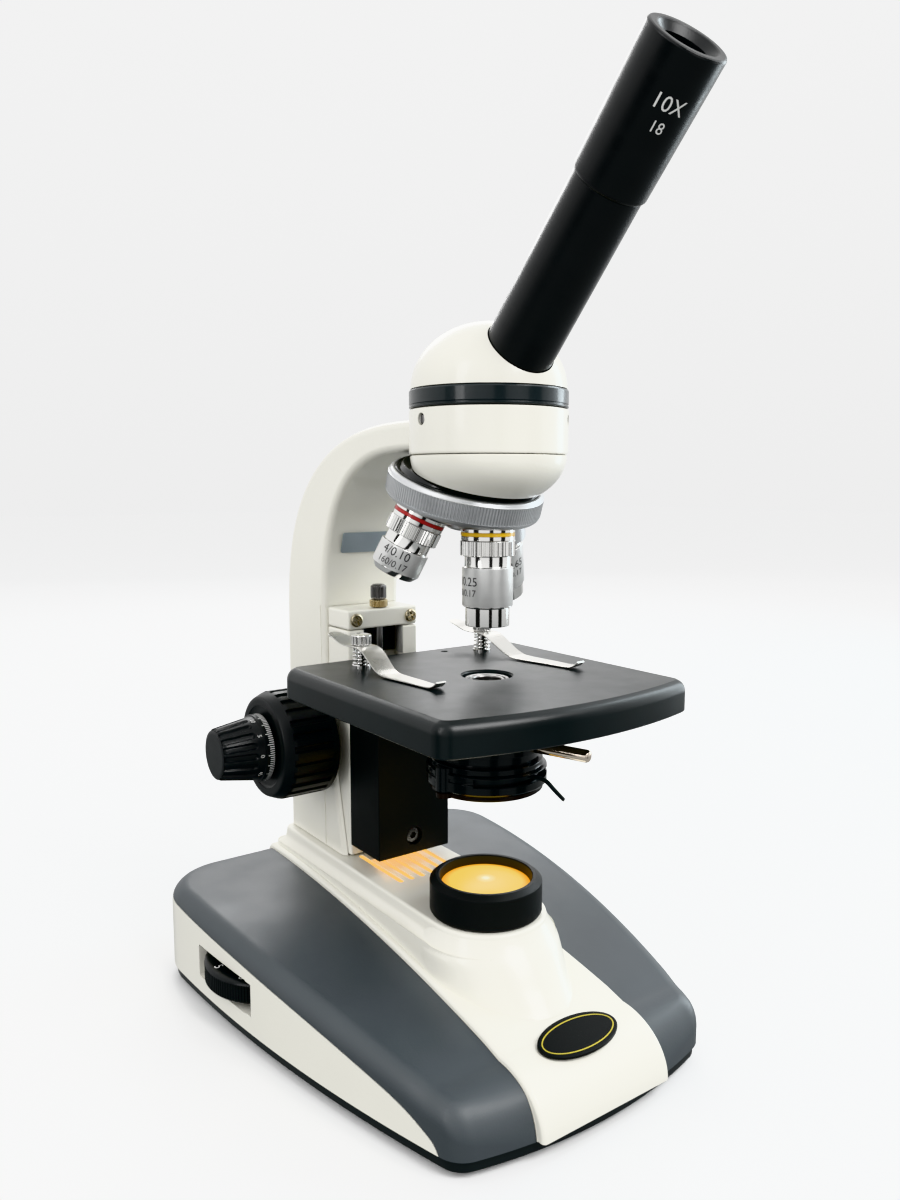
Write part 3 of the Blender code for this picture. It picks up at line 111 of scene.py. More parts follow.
# Stage, its carrier and the condenser under it.
CARRIER_HALF, CARRIER_Y, CARRIER_Z = 18.84, (52.5, 77.5), (62.2, 148.6)
STAGE_HALF, STAGE_FRONT, STAGE_BOW, STAGE_BACK = 59.66, -51.9, 9.3, 62.2
STAGE_Z, STAGE_SKIRT, STAGE_APERTURE = (148.9, 153.4), 140.9, 10.05
CLIP_POSTS = {"left": (-31.5, 44.3), "right": (31.9, 44.8)}
CLIP_PATHS = {
    "left": ((-36.0, 57.8, 165.2, 6), (-35.2, 55.6, 164.5, 9.6), (-34.0, 52.6, 163.2, 10.4),
             (-32.9, 49.0, 162.2, 9.6), (-31.5, 44.3, 162.0, 9.6), (-31.7, 39.0, 162.0, 9.6),
             (-32.2, 34.8, 161.2, 9.5), (-32.8, 30.4, 159.4, 9.3), (-33.3, 26.0, 157.1, 9.1),
             (-33.6, 21.8, 155.1, 8.9), (-33.5, 17.0, 154.2, 8.5), (-32.6, 2.0, 154.1, 6.8),
             (-31.9, -8.0, 154.1, 6), (-31.8, -11.2, 154.9, 5.4), (-31.7, -13.2, 156.6, 4.6)),
    "right": ((27.4, 58.3, 165.2, 6), (28.2, 56.1, 164.5, 9.6), (29.4, 53.1, 163.2, 10.4),
              (30.5, 49.5, 162.2, 9.6), (31.9, 44.8, 162.0, 9.6), (31.6, 39.5, 162.0, 9.6),
              (31.4, 35.2, 161.2, 9.5), (31.3, 30.8, 159.4, 9.4), (31.5, 26.4, 157.1, 9.3),
              (32.0, 22.0, 155.1, 9.1), (32.5, 17.4, 154.2, 8.8), (34.8, 2.0, 154.1, 7),
              (36.3, -9.0, 154.1, 6), (36.8, -12.4, 154.9, 5.4), (37.1, -14.4, 156.6, 4.6)),
}
CONDENSER_R, CONDENSER_Z, SLEEVE_R = 24.2, (111.0, 121.0), 21.0
LEVER_AZIMUTH, LEVER_Z, LEVER_REACH = 18.0, 128.0, 46.5
IRIS_AZIMUTH = 16.0
FILTER_PIVOT = (-22.5, -2.5)

# Head ring, turret and eye tube.
RING_R, BAND_TOP = 30.6, 264.0
SET_SCREWS = ((-92, 252.4), (41, 252.4))
DOME_R, DOME_RISE, BOWL_R, BOWL_DEPTH = 30.0, 25.3, 30.2, 20.0
TURRET_AT, TURRET_TILT, RIM_R = (0, 17.8, 217.8), 18.7, 31.7
SHOULDER_Z = 211.8
TUBE_Z, TUBE_TILT, TUBE_TURN = 258.0, 43.8, -4.3
TUBE_ENDS, TUBE_RADII = (24.0, 93.7), (13.1, 12.16)
EYEPIECE_R, EYEPIECE_TOP = 13.0, 139.0

# Where the printed figures stand, in degrees about the piece that they are on.
TEXT_ANGLE = -112.0
MARK_ANGLES = {"4x": -52.0, "10x": -192.0, "40x": 168.0}
DIAL_START, DIAL_STEP, DIAL_TURN = 36.0, 36.0, 90.0

SITE = Matrix.Translation(Vector((AXIS_X, AXIS_Y, 0)))


# ---------------------------------------------------------------- making meshes

PIECES = {}
TOOLS = []


def at(x, y, z):
    return Matrix.Translation(Vector((x, y, z)))


def along(point, direction, side=(0, 0, 1)):
    """A frame at `point` whose Z runs along `direction` and whose X is square to `side`."""
    z = Vector(direction).normalized()
    x = Vector(side).cross(z)
    x = x.normalized() if x.length > 1e-6 else Vector((1, 0, 0))
    frame = Matrix((x, z.cross(x), z)).transposed().to_4x4()
    frame.translation = Vector(point)
    return frame


def azimuth(angle, radius, z=0.0):
    """A point round the optical axis. Angle 0 is the front, and it grows towards the right."""
    return (radius * sin(radians(angle)), -radius * cos(radians(angle)), z)


def metres(frame):
    frame = SITE @ frame
    frame.translation = frame.translation * MM
    return frame


def object_of(name, shape):
    """A scene object from a shape, which is its mesh, its frame and what adds its modifiers."""
    bm, frame, after = shape
    mesh = bpy.data.meshes.new(name)
    bmesh.ops.scale(bm, vec=(MM, MM, MM), verts=bm.verts)
    bm.to_mesh(mesh)
    bm.free()
    obj = bpy.data.objects.new(name, mesh)
    obj.matrix_world = metres(frame)
    bpy.context.scene.collection.objects.link(obj)
    after(obj)
    return obj


def piece(name, shape, material, body=None, slot=None, sharp=35, edge=0.0):
    """A finished piece. It stands for the CAD node of that name, or is an extra one on a body."""
    obj = object_of(name + ("_finished" if body is None else ""), shape)
    PIECES[name] = (obj, material, body, slot, sharp, edge)
    return obj


def boolean(obj, operation, shape):
    tool = shape
    if not isinstance(shape, bpy.types.Object):
        tool = object_of(obj.name + "_tool", shape)
    TOOLS.append(tool)
    modifier = obj.modifiers.new(operation.title(), "BOOLEAN")
    modifier.operation = operation
    modifier.solver = "EXACT"
    modifier.object = tool
    return obj


def cut(obj, *shapes):
    for shape in shapes:
        boolean(obj, "DIFFERENCE", shape)
    return obj


def join(obj, *shapes):
    for shape in shapes:
        boolean(obj, "UNION", shape)
    return obj


def keep(obj, *shapes):
    for shape in shapes:
        boolean(obj, "INTERSECT", shape)
    return obj


def nothing_more(obj):
    return obj


def filleted(points, radius, segments=4, closed=True):
    """Rounds the corners of a plane outline. Radius is one number, or one for each point."""
    out = []
    count = len(points)
    for i, point in enumerate(points):
        r = radius[i] if hasattr(radius, "__len__") else radius
        if not r or (not closed and i in (0, count - 1)):
            out.append(tuple(point))
            continue
        b = Vector(point)
        u, v = Vector(points[i - 1]) - b, Vector(points[(i + 1) % count]) - b
        if u.length < 1e-6 or v.length < 1e-6 or u.angle(v) > radians(168):
            out.append(tuple(point))
            continue
        half = u.angle(v) / 2
        t = min(r / tan(half), 0.48 * u.length, 0.48 * v.length)
        u.normalize()
        v.normalize()
        centre = b + (u + v).normalized() * (t / cos(half))
        start, end = b + u * t - centre, b + v * t - centre
        sweep = start.angle(end)
        for k in range(segments + 1):
            w = k / segments
            out.append(tuple(centre + (start * sin((1 - w) * sweep) + end * sin(w * sweep)) / sin(sweep)))
    return out


def turned(profile, frame=None, steps=96, loop=False, soft=0.0, segments=3):
    """A solid of revolution about the frame's Z. The profile of (radius, z) runs from top to bottom
    on its outer side; with `loop` it closes on itself and leaves a bore. `soft` rounds its edges."""
    if soft:
        profile = filleted(profile, soft, segments, closed=loop)
    bm = bmesh.new()
    verts = [bm.verts.new((r, 0, z)) for r, z in profile]
    for a, b in zip(verts, verts[1:] + verts[:1] if loop else verts[1:]):
        bm.edges.new((a, b))

    def screw(obj):
        modifier = obj.modifiers.new("Screw", "SCREW")
        modifier.steps = steps
        modifier.render_steps = steps
        modifier.axis = "Z"
        modifier.use_merge_vertices = True
        modifier.merge_threshold = 0.00001
    return bm, frame or Matrix(), screw


def lofted(rings, frame=None, across=False):
    """A closed solid through rings that have equally many points, from the lowest to the highest.
    With `across`, the top is filled by strips between mirrored points rather than by one face."""
    bm = bmesh.new()
    loops = [[bm.verts.new(p) for p in ring] for ring in rings]
    count = len(loops[0])
    for low, high in zip(loops, loops[1:]):
        for i in range(count):
            j = (i + 1) % count
            bm.faces.new((low[i], low[j], high[j], high[i]))
    bm.faces.new(loops[0][::-1])
    if across:
        for i in range(count // 2):
            top = loops[-1]
            corners = [top[i], top[i + 1], top[count - i - 1], top[(count - i) % count]]
            bm.faces.new(dict.fromkeys(corners))
    else:
        bm.faces.new(loops[-1])
    return bm, frame or Matrix(), nothing_more


def relief(rows, count, depth, frame=None):
    """A turned solid through (radius, z) rows from low to high, sunk by depth(angle in turns, z)."""
    rings = []
    for r, z in rows:
        ring = []
        for i in range(count):
            share = i / count
            reach = r - depth(share, z)
            ring.append((reach * cos(2 * pi * share), reach * sin(2 * pi * share), z))
        rings.append(ring)
    return lofted(rings, frame)


def ridges(teeth, amount, low, high, flat=0.5, blend=0.3):
    """A depth for `relief`: straight knurling between two heights, with sloping flanks."""
    def depth(share, z):
        if z < low or z > high:
            return 0.0
        phase = abs(share * teeth % 1 - 0.5) * 2
        return amount * (1 - min(max((phase - flat + blend / 2) / blend, 0), 1))
    return depth


def extruded(outline, low, high, frame=None, edge=0.0, segments=3, rounded=None):
    """A plan outline of (u, v) run from `low` to `high` along the frame's Z, with rounded rims."""
    bm = bmesh.new()
    weight = bm.edges.layers.float.new("bevel_weight_edge")
    bottom = [bm.verts.new((u, v, low)) for u, v in outline]
    top = [bm.verts.new((u, v, high)) for u, v in outline]
    count = len(outline)
    for i in range(count):
        j = (i + 1) % count
        bm.faces.new((bottom[i], bottom[j], top[j], top[i]))
    bm.faces.new(bottom[::-1])
    bm.faces.new(top)
    for loop in (bottom, top):
        for i in range(count):
            a, b = loop[i], loop[(i + 1) % count]
            if rounded is None or rounded((a.co + b.co) / 2):
                bm.edges.get((a, b))[weight] = 1.0
    bmesh.ops.recalc_face_normals(bm, faces=bm.faces)

    def bevel(obj):
        if edge:
            modifier = obj.modifiers.new("Bevel", "BEVEL")
            modifier.limit_method = "WEIGHT"
            modifier.width = edge * MM
            modifier.segments = segments
    return bm, frame or Matrix(), bevel


def box(x, y, z, edge=0.0, segments=3):
    bm = bmesh.new()
    bmesh.ops.create_cube(bm, size=1)
    for v in bm.verts:
        v.co = Vector([a[0] if c < 0 else a[1] for a, c in zip((x, y, z), v.co)])

    def bevel(obj):
        if edge:
            modifier = obj.modifiers.new("Bevel", "BEVEL")
            modifier.limit_method = "NONE"
            modifier.width = edge * MM
            modifier.segments = segments
    return bm, Matrix(), bevel


def placed(shape, frame):
    bm, own, after = shape
    return bm, frame @ own, after


def rod(radius, low, high, frame=None, steps=48, soft=0.0):
    return turned([(0, high), (radius, high), (radius, low), (0, low)], frame, steps, soft=soft)


def smooth_curve(points, per_span=4):
    """A curve through the points, bending evenly from one to the next."""
    p = np.array(points, float)
    ends = np.vstack([2 * p[0] - p[1], p, 2 * p[-1] - p[-2]])
    t = np.linspace(0, 1, per_span, endpoint=False)[:, None]
    out = []
    for a, b, c, d in zip(ends, ends[1:], ends[2:], ends[3:]):
        out.append(b + t * (c - a) / 2 + t**2 * (a - 2.5 * b + 2 * c - d / 2)
                   + t**3 * (1.5 * (b - c) + (d - a) / 2))
    return [tuple(q) for q in np.vstack(out)] + [tuple(p[-1])]


def arc(centre, radius, start, end, count):
    """Points on a circle in plan, from one angle to another in degrees."""
    angles = np.radians(np.linspace(start, end, count))
    return [(centre[0] + radius * cos(a), centre[1] + radius * sin(a)) for a in angles]


def rounded_box(half_x, half_y, radius, count=8, centre=(0, 0)):
    points = []
    for k, (sx, sy) in enumerate(((1, 1), (-1, 1), (-1, -1), (1, -1))):
        corner = (centre[0] + sx * (half_x - radius), centre[1] + sy * (half_y - radius))
        points += arc(corner, radius, 90 * k, 90 * k + 90, count)
    return points


def outward(shape):
    bmesh.ops.recalc_face_normals(shape[0], faces=shape[0].faces)
    return shape


def in_side_view(outline, low, high, edge=0.0, segments=3, rounded=None):
    """A side view outline of (y, z), run from x = low to x = high."""
    bm, _, after = extruded(outline, low, high, None, edge, segments, rounded)
    for v in bm.verts:
        v.co = Vector((v.co.z, v.co.x, v.co.y))
    return outward((bm, Matrix(), after))


def in_back_view(shape):
    """Turns a solid that was drawn flat so that it stands upright, with its plan facing the back."""
    for v in shape[0].verts:
        v.co = Vector((v.co.x, -v.co.z, v.co.y))
    return outward(shape)


def tube_along(rings):
    """A closed solid through rings of points, whichever way they run."""
    return outward(lofted(rings))


def ribbon(path, thick=0.7, bulge=0.18):
    """A bent strip through (x, y, z, width), lying flat across its path, with softened long edges."""
    points = [Vector(p[:3]) for p in path]
    rings = []
    for i, p in enumerate(points):
        run = (points[min(i + 1, len(points) - 1)] - points[max(i - 1, 0)]).normalized()
        level = Vector((run.x, run.y, 0)).normalized()
        across = Vector((-level.y, level.x, 0)) * path[i][3] / 2
        up = (run.cross(across) if run.cross(across).z > 0 else across.cross(run)).normalized() * thick / 2
        inner = across * (1 - min(bulge / max(path[i][3] / 2, 0.01), 0.9))
        rings.append([p - inner - up, p + inner - up, p + across - up * 0.4, p + across + up * 0.4,
                      p + inner + up, p - inner + up, p - across + up * 0.4, p - across - up * 0.4])
    return tube_along(rings)


def helix(radius, wire, low, high, turns, centre, sides=10, per_turn=36):
    """Round wire wound about a vertical line, with its ends flattened onto the last turn."""
    count = int(turns * per_turn)
    rings = []
    for i in range(count + 1):
        a = 2 * pi * i / per_turn
        share = min(max((i / count - 0.08) / 0.84, 0), 1)
        out = Vector((cos(a), sin(a), 0))
        middle = Vector((centre[0], centre[1], low + (high - low) * share)) + out * radius
        rings.append([middle + out * wire * cos(b) + Vector((0, 0, wire * sin(b)))
                      for b in (2 * pi * k / sides for k in range(sides))])
    return tube_along(rings)
TUBE_AXIS = Vector((sin(radians(TUBE_TURN)) * cos(radians(TUBE_TILT)),
                    -cos(radians(TUBE_TURN)) * cos(radians(TUBE_TILT)), sin(radians(TUBE_TILT))))
TUBE = along((0, 0, TUBE_Z), TUBE_AXIS)
TURRET_UP = Vector((0, -sin(radians(TURRET_TILT)), cos(radians(TURRET_TILT))))
TURRET = along(TURRET_AT, TURRET_UP, (0, 1, 0))
ACROSS = along((0, DRIVE_Y, DRIVE_Z), (1, 0, 0))


# ---------------------------------------------------------------- base

def circle_meet(a, ra, b, rb):
    """Where two circles cross, on the side of greater X."""
    gap = hypot(b[0] - a[0], b[1] - a[1])
    t = (ra**2 - rb**2 + gap**2) / (2 * gap)
    h = sqrt(ra**2 - t**2)
    ux, uy = (b[0] - a[0]) / gap, (b[1] - a[1]) / gap
    return max((a[0] + t * ux - s * h * uy, a[1] + t * uy + s * h * ux) for s in (1, -1))


SIDE_CENTRE = (SIDE_REACH - SIDE_RADIUS, SIDE_CENTRE_Y)
FRONT_CENTRE = (0.0, FRONT_Y + FRONT_RADIUS)
FRONT_FILLET = circle_meet(SIDE_CENTRE, SIDE_RADIUS - FRONT_CORNER, FRONT_CENTRE,
                           FRONT_RADIUS - FRONT_CORNER)
BACK_FILLET = (SIDE_CENTRE[0] + sqrt((SIDE_RADIUS - BACK_CORNER)**2
                                     - (BACK_Y - BACK_CORNER - SIDE_CENTRE_Y)**2), BACK_Y - BACK_CORNER)


def base_outline(inset=0.0):
    """Plan outline from the middle of the front, round the right to the back, and round the left."""
    front = degrees(atan2(FRONT_FILLET[1] - FRONT_CENTRE[1], FRONT_FILLET[0] - FRONT_CENTRE[0]))
    low = degrees(atan2(FRONT_FILLET[1] - SIDE_CENTRE[1], FRONT_FILLET[0] - SIDE_CENTRE[0]))
    high = degrees(atan2(BACK_FILLET[1] - SIDE_CENTRE[1], BACK_FILLET[0] - SIDE_CENTRE[0]))
    right = arc(FRONT_CENTRE, FRONT_RADIUS - inset, -90, front, 13)
    right += arc(FRONT_FILLET, FRONT_CORNER - inset, front, low, 17)[1:]
    for share in np.linspace(0, 1, 45)[1:]:
        angle = radians(low + (high - low) * share**1.25)
        right.append((SIDE_CENTRE[0] + (SIDE_RADIUS - inset) * cos(angle),
                      SIDE_CENTRE[1] + (SIDE_RADIUS - inset) * sin(angle)))
    right += arc(BACK_FILLET, BACK_CORNER - inset, high, 90, 22)[1:]
    return right + [(-x, y) for x, y in right[:0:-1]]


def top_height(y):
    """Height of the base's top where the side panels meet the centre strip."""
    if y >= TOP_Y:
        s = (y - TOP_Y) / 173.6
        return TOP_Z + TOP_SLOPE * (y - TOP_Y) + TOP_CROWN * s * (1 - s)
    if y >= NOSE_Y:
        return TOP_Z + (NOSE_Z - TOP_Z) * (TOP_Y - y) / (TOP_Y - NOSE_Y)
    reach = min(1.0, (NOSE_Y - y) / NOSE_A)
    return NOSE_Z - NOSE_B + NOSE_B * sqrt(1 - reach**2)


def base_body(skin=0.0, floor=WALL_Z):
    """The base's outer form, or the same form drawn in by `skin` on every side."""
    rings = [[(x, y, floor) for x, y in base_outline(skin)]]
    roll = min(ROLL, FRONT_CORNER - 0.8 - skin)
    for k, angle in enumerate(np.linspace(0, 90, 9)):
        inset = roll * (1 - cos(radians(angle)))
        drop = roll * (1 - sin(radians(angle)))
        outline = base_outline(skin + inset)
        rings.append([(x, y, max(top_height(y - skin) - drop - skin, WALL_Z + 0.7 + 0.45 * k - skin * 0.4))
                      for x, y in outline])
    return lofted(rings, across=True)


def side_zone(x_low, rise, side):
    """Everything on one side of the centre strip and above the edge of that side's panel."""
    edge = [(y - rise * 0.6, z + rise) for y, z in smooth_curve(PANEL_EDGE, 9)]
    outline = [(-90.0, edge[0][1])] + edge + [(160.0, 90.0), (-90.0, 90.0)]
    bm, _, after = extruded(outline, x_low, 120.0, None)
    for v in bm.verts:
        v.co = Vector((side * v.co.z, v.co.x, v.co.y))
    return outward((bm, Matrix(), after))


def centre_strip():
    """The raised band that runs over the base from front to back."""
    nose = [(NOSE_Y - 24.0 * sin(radians(a)),
             WALL_Z + GAP + (NOSE_Z + STRIP_RISE - WALL_Z - GAP) * cos(radians(a)))
            for a in np.linspace(90, 3, 30)]
    top = [(y, top_height(y) + STRIP_RISE) for y in [-48.5, -45.5, -42.5,
                                                     -39.6] + list(np.linspace(-36, 136, 44))]
    back = [(BACK_Y - 6.3 + 6 * sin(radians(a)), top_height(136) + STRIP_RISE - 6 + 6 * cos(radians(a)))
            for a in (15, 30, 45, 60, 75, 90)]
    skyline = [Vector(p) for p in nose + top + back]
    last = len(skyline) - 1
    runs = [(skyline[min(i + 1, last)] - skyline[max(i - 1, 0)]).normalized() for i in range(last + 1)]
    rings = []
    lip = [(STRIP_HALF - 1.7 * (1 - cos(a)), 1.7 * (1 - sin(a))) for a in np.linspace(0, pi / 2, 7)]
    for x, inset in [(-x, d) for x, d in lip] + lip[::-1]:
        ring = [p + Vector((run.y, -run.x)) * inset for p, run in zip(skyline, runs)]
        ring += [Vector((BACK_Y - 0.3, 12.0)), Vector((-60.0, 12.0)), Vector((-60.0, WALL_Z + GAP))]
        rings.append([(x, p.x, p.y) for p in ring])
    return tube_along(rings)


def tier(rows):
    """A long plinth with a round front about the optical axis. Rows are (z, half width, back)."""
    rings = []
    for z, half, back in rows:
        plan = arc((0, 0), half, 180, 360, 61)
        plan += arc((half - 5, back - 5), 5, 0, 90, 9) + arc((5 - half, back - 5), 5, 90, 180, 9)
        rings.append([(x, y, z) for x, y in plan])
    return lofted(rings)


def boss_form():
    """The lamp's boss: round behind, and drawn out to the front."""
    rings = []
    for z, half, front in smooth_curve(BOSS[::-1], 3):
        angles = np.linspace(0, 2 * pi, 160, endpoint=False)
        rings.append([(half * cos(a), (half if sin(a) > 0 else front) * sin(a), z) for a in angles])
    return lofted(rings)


def make_casting():
    casting = piece("base_casting", base_body(), "cream", sharp=38)
    join(casting, centre_strip())
    steps = smooth_curve(((30, 28.9, 139.2), (MOULDING_Z - 1.5, MOULDING_HALF, 138.95),
                          (MOULDING_Z - 0.4, 28.35, 138.6),
                          (MOULDING_Z + 0.1, 27.6, 138.0), (MOULDING_Z + 1.4, 26.2, 136.7),
                          (51.2, 25.4, 136.0),
                          (52.8, 25.1, 135.8), (PLATEAU_Z - 1.3, PLATEAU_HALF, 135.6),
                          (PLATEAU_Z - 0.35, 24.5, 135.2),
                          (PLATEAU_Z, PLATEAU_HALF - 1.2, 134.6)), 3)
    join(casting, tier(steps[1:]))
    join(casting, boss_form())
    for side in (-1, 1):
        recess = object_of("panel_recess", side_zone(STRIP_HALF + 0.15, 0.0, side))
        cut(recess, base_body(PANEL, 3.0))
        cut(casting, recess)
    cut(casting, base_body(CAVITY, -4.0))
    cut(casting, box((-18.4, 18.4), (-12, 91), (22, 51.3)), rod(16.4, 15, 70))
    half = (VENTS_Y[1] - VENTS_Y[0]) / 2
    for x in VENTS_X:
        slot = rounded_box(VENT_WIDTH / 2, half, VENT_WIDTH / 2 - 0.01, 7, (x, sum(VENTS_Y) / 2))
        cut(casting, extruded(slot, 47, 62))
        piece("vent_glow_%d" % (VENTS_X.index(x) + 1), extruded(slot, 54.4, 55.5), "vent_light", "stand",
              "warm_lens")
    centre = (sum(SLOT_Y) / 2, sum(SLOT_Z) / 2)
    window = rounded_box((SLOT_Y[1] - SLOT_Y[0]) / 2, (SLOT_Z[1] - SLOT_Z[0]) / 2, 1.0, 5, centre)
    cut(casting, in_side_view(window, -104, -70))
    cut(casting, box((-84.6, -70), (46, 96), (SLOT_Z[0] + 0.4, SLOT_Z[1] - 0.4)))
    cut(casting, box((-25.3, 24.3), (BACK_Y - 12, BACK_Y + 6), (INLET_Z - 10.3, INLET_Z + 10.3)))


def make_panel(name, side):
    panel = piece(name, side_zone(STRIP_HALF + 0.45, GAP, side), "slate", sharp=38)
    keep(panel, base_body())
    cut(panel, base_body(PANEL - 0.45, 3.0))


def make_plate_and_feet():
    plate = piece("base_plate", extruded(base_outline(1.3), *PLATE, None, 0.9, 3), "black_satin")
    for k, (x, y) in enumerate(FEET):
        cut(plate, rod(3.2, -5, 12, at(x, y, 0)))
        name = "foot_" + ("front_left", "front_right", "back_left", "back_right")[k]
        piece(name, turned([(0, 5.6), (2.9, 5.6), (2.9, 2.2), (9.6, 2.2), (10, 1.6), (9.2, 0), (0, 0)],
                           at(x, y, 0), 64, soft=0.3), "rubber")
    for x in VENTS_X[::2]:
        cut(plate, extruded(rounded_box(1.5, 14, 1.2, 5, (x, 88)), -2, 12))


def make_badge():
    """A plain dark oval with a fine gold line inside its edge."""
    slope = atan2(top_height(-49) - top_height(-61), 12.0)
    normal = Vector((0, -sin(slope), cos(slope)))
    middle = Vector((0, -55.2, top_height(-55.2) + STRIP_RISE)) + normal * 1.1
    place = along(middle, normal, (0, 1, 0))

    def oval(rx, ry, z):
        return [(rx * cos(a), ry * sin(a), z) for a in np.linspace(0, 2 * pi, 96, endpoint=False)]
    piece("badge", lofted([oval(18.5, 8.75, -0.5), oval(18.5, 8.75, 0.2), oval(18.35, 8.6, 0.42),
                           oval(18.05, 8.3, 0.5),
                           oval(17.0, 7.3, 0.52)], place), "badge_black")
    bm = bmesh.new()
    loops = [[bm.verts.new(p) for p in oval(r, r - 9.95, 0.555)] for r in (16.9, 16.45)]
    for i in range(96):
        j = (i + 1) % 96
        bm.faces.new((loops[0][i], loops[0][j], loops[1][j], loops[1][i]))
    piece("badge_line", (bm, place, nothing_more), "gold_ink", "stand", "brass")


def make_lamp():
    low, high = COLLAR_Z
    profile = [(18.9, high - 0.3), (19.3, high), (20.7, high), (COLLAR_R - 0.1, high - 1.7),
               (COLLAR_R, high - 2.2),
               (COLLAR_R, low + 0.8), (22.5, low), (15.6, low), (15.6, 63.4), (18.8, 63.4)]
    piece("lamp_collar", turned(profile, at(0, 0, 0), 160, True, soft=0.25), "black_powder")
    piece("field_lens", turned([(0, 68.9), (6, 68.75), (11, 68.35), (15.5, 67.7), (18.2, 67.1),
                                (LENS_R, 66.6),
                                (LENS_R, 63.8), (15.2, 63.7), (0, 63.7)], at(0, 0, 0), 128), "lamp_lens")


def make_dimmer():
    x, y = DIMMER_AT
    low, high = DIMMER_Z
    h = high - low
    rows = [(DIMMER_R - 1.5, 0), (DIMMER_R - 0.5, 0.25), (DIMMER_R, 0.9), (DIMMER_R, 1.0)]
    rows += [(DIMMER_R, z) for z in (1.1, h - 1.5)] + [(DIMMER_R, h - 1.4), (DIMMER_R - 0.3, h - 0.75),
                                                       (DIMMER_R - 1.0, h - 0.3),
             (DIMMER_R - 1.9, h), (DIMMER_R - 4.5, h), (DIMMER_R - 5.0, h - 0.35), (6.0, h - 0.35),
                                                       (5.4, h)]
    wheel = piece("dimmer_wheel", relief(rows, 1024, ridges(128, 0.45, 1.05, h - 1.45, 0.45, 0.5),
                                         at(x, y, low)),
                  "black_plastic")
    cut(wheel, rod(3.3, low - 2, high + 2, at(x, y, 0)))


def make_dial_figures():
    """The figures 1 to 9 on the brightness wheel, reading from its rim."""
    turn = Matrix.Rotation(radians(DIAL_TURN), 4, "Z")
    for k in range(9):
        spot = at(*DIMMER_AT, DIMMER_Z[1] + 0.03) @ Matrix.Rotation(radians(DIAL_START + DIAL_STEP * k), 4,
                                                                    "Z")
        flat_lettering("dimmer_mark_%d" % (k + 1), str(k + 1), 3.9, spot @ at(DIMMER_R - 4.2, 0, 0) @ turn,
                       "white_ink",
                       "dimmer", "black_plastic")


def make_inlet():
    y = BACK_Y + GAP
    inlet = piece("power_inlet", box((-25, 24), (y - 22, y + 0.4), (INLET_Z - 10, INLET_Z + 10)),
                  "black_plastic")
    flange = extruded(rounded_box(29.5, 12.4, 3, 8, (-0.5, INLET_Z)), -y - 1.9, -y, None, 0.5, 3)
    join(inlet, in_back_view(flange))
    mouth = [(-10.8, -7.4), (10.8, -7.4), (10.8, 3.4), (6.8, 7.4), (-6.8, 7.4), (-10.8, 3.4)]
    shape = extruded([(SOCKET_X + u, INLET_Z + v) for u, v in filleted(mouth, 1.2)], -y - 5, 16 - y)
    cut(inlet, in_back_view(shape), box((SWITCH_X - 5.4, SWITCH_X + 5.4), (y - 14, y + 5),
                                        (INLET_Z - 8.4, INLET_Z + 8.4)))
    for k, (dx, dz) in enumerate(((-6, -1.5), (6, -1.5), (0, 3))):
        piece("inlet_pin_%d" % (k + 1), box((SOCKET_X + dx - 1, SOCKET_X + dx + 1), (y - 17, y - 4),
                                            (INLET_Z + dz - 2, INLET_Z + dz + 2), 0.3, 2), "steel",
              "stand", "satin_steel")
    for k, x in enumerate((-26.6, 25.6)):
        screw_head("inlet_screw_%d" % (k + 1), along((x, y + 1.9, INLET_Z), (0, 1, 0)), 2.3, 1.3, "steel")
    outline = filleted([(-4, -7.2), (1.2, -7.5), (1.6, 0), (4.4, 7.0), (-1.5, 7.5), (-8, 0.8), (-8, -0.8)],
                       0.5)
    piece("switch_rocker", placed(in_side_view(outline, -5, 5, 0.4, 3),
                                  at(SWITCH_X, BACK_Y - 1.0, INLET_Z)), "black_plastic")


def screw_head(name, place, radius, high, material, node=None, shank=None, flat=False):
    """A pan head with a cross recess, standing on the frame's Z = 0."""
    low = GAP if node else -0.2
    profile = [(0, high), (radius * 0.55, high * 0.93), (radius * 0.86, high * 0.66),
               (radius, high * 0.25), (radius, low)]
    if flat:
        profile = [(0, high * 0.82), (radius * 0.8, high * 0.8), (radius * 0.93, high * 0.66),
                   (radius, high * 0.45), (radius, low)]
    profile += [(shank[0], low), (shank[0], -shank[1]), (0, -shank[1])] if shank else [(0, low)]
    head = turned(profile, place, 48, soft=0.12)
    screw = piece(node or name, head, material) if node else piece(name, head, material, "stand",
                                                                   "satin_steel")
    for turn in (0, 90):
        blade = box((-radius * 0.62, radius * 0.62), (-radius * 0.15, radius * 0.15),
                    (high * 0.35, high * 2))
        cut(screw, placed(blade, place @ Matrix.Rotation(radians(turn + 20), 4, "Z")))
    return screw


# ---------------------------------------------------------------- arm and guide

def superellipse(axes, power, start, end, count):
    """Points of the arm's curve, as (y, z), between two angles in degrees."""
    points = []
    for a in np.radians(np.linspace(start, end, count)):
        c, s = abs(cos(a))**(2 / power), abs(sin(a))**(2 / power)
        points.append((ARM_CENTRE[0] + axes[0] * c, ARM_CENTRE[1] + axes[1] * s))
    return points


def arm_outline():
    inner = superellipse(ARM_INNER, ARM_INNER_POWER, 0, 90, 46)
    outer = superellipse(ARM_OUTER, ARM_OUTER_POWER, 90, 0, 56)
    foot = [(ARM_BACK, ARM_FOOT_Z), (79.7, ARM_FOOT_Z), (ARM_FRONT, 133.0)]
    return foot + inner + [(8.0, 241.5), (8.0, 253.7)] + outer


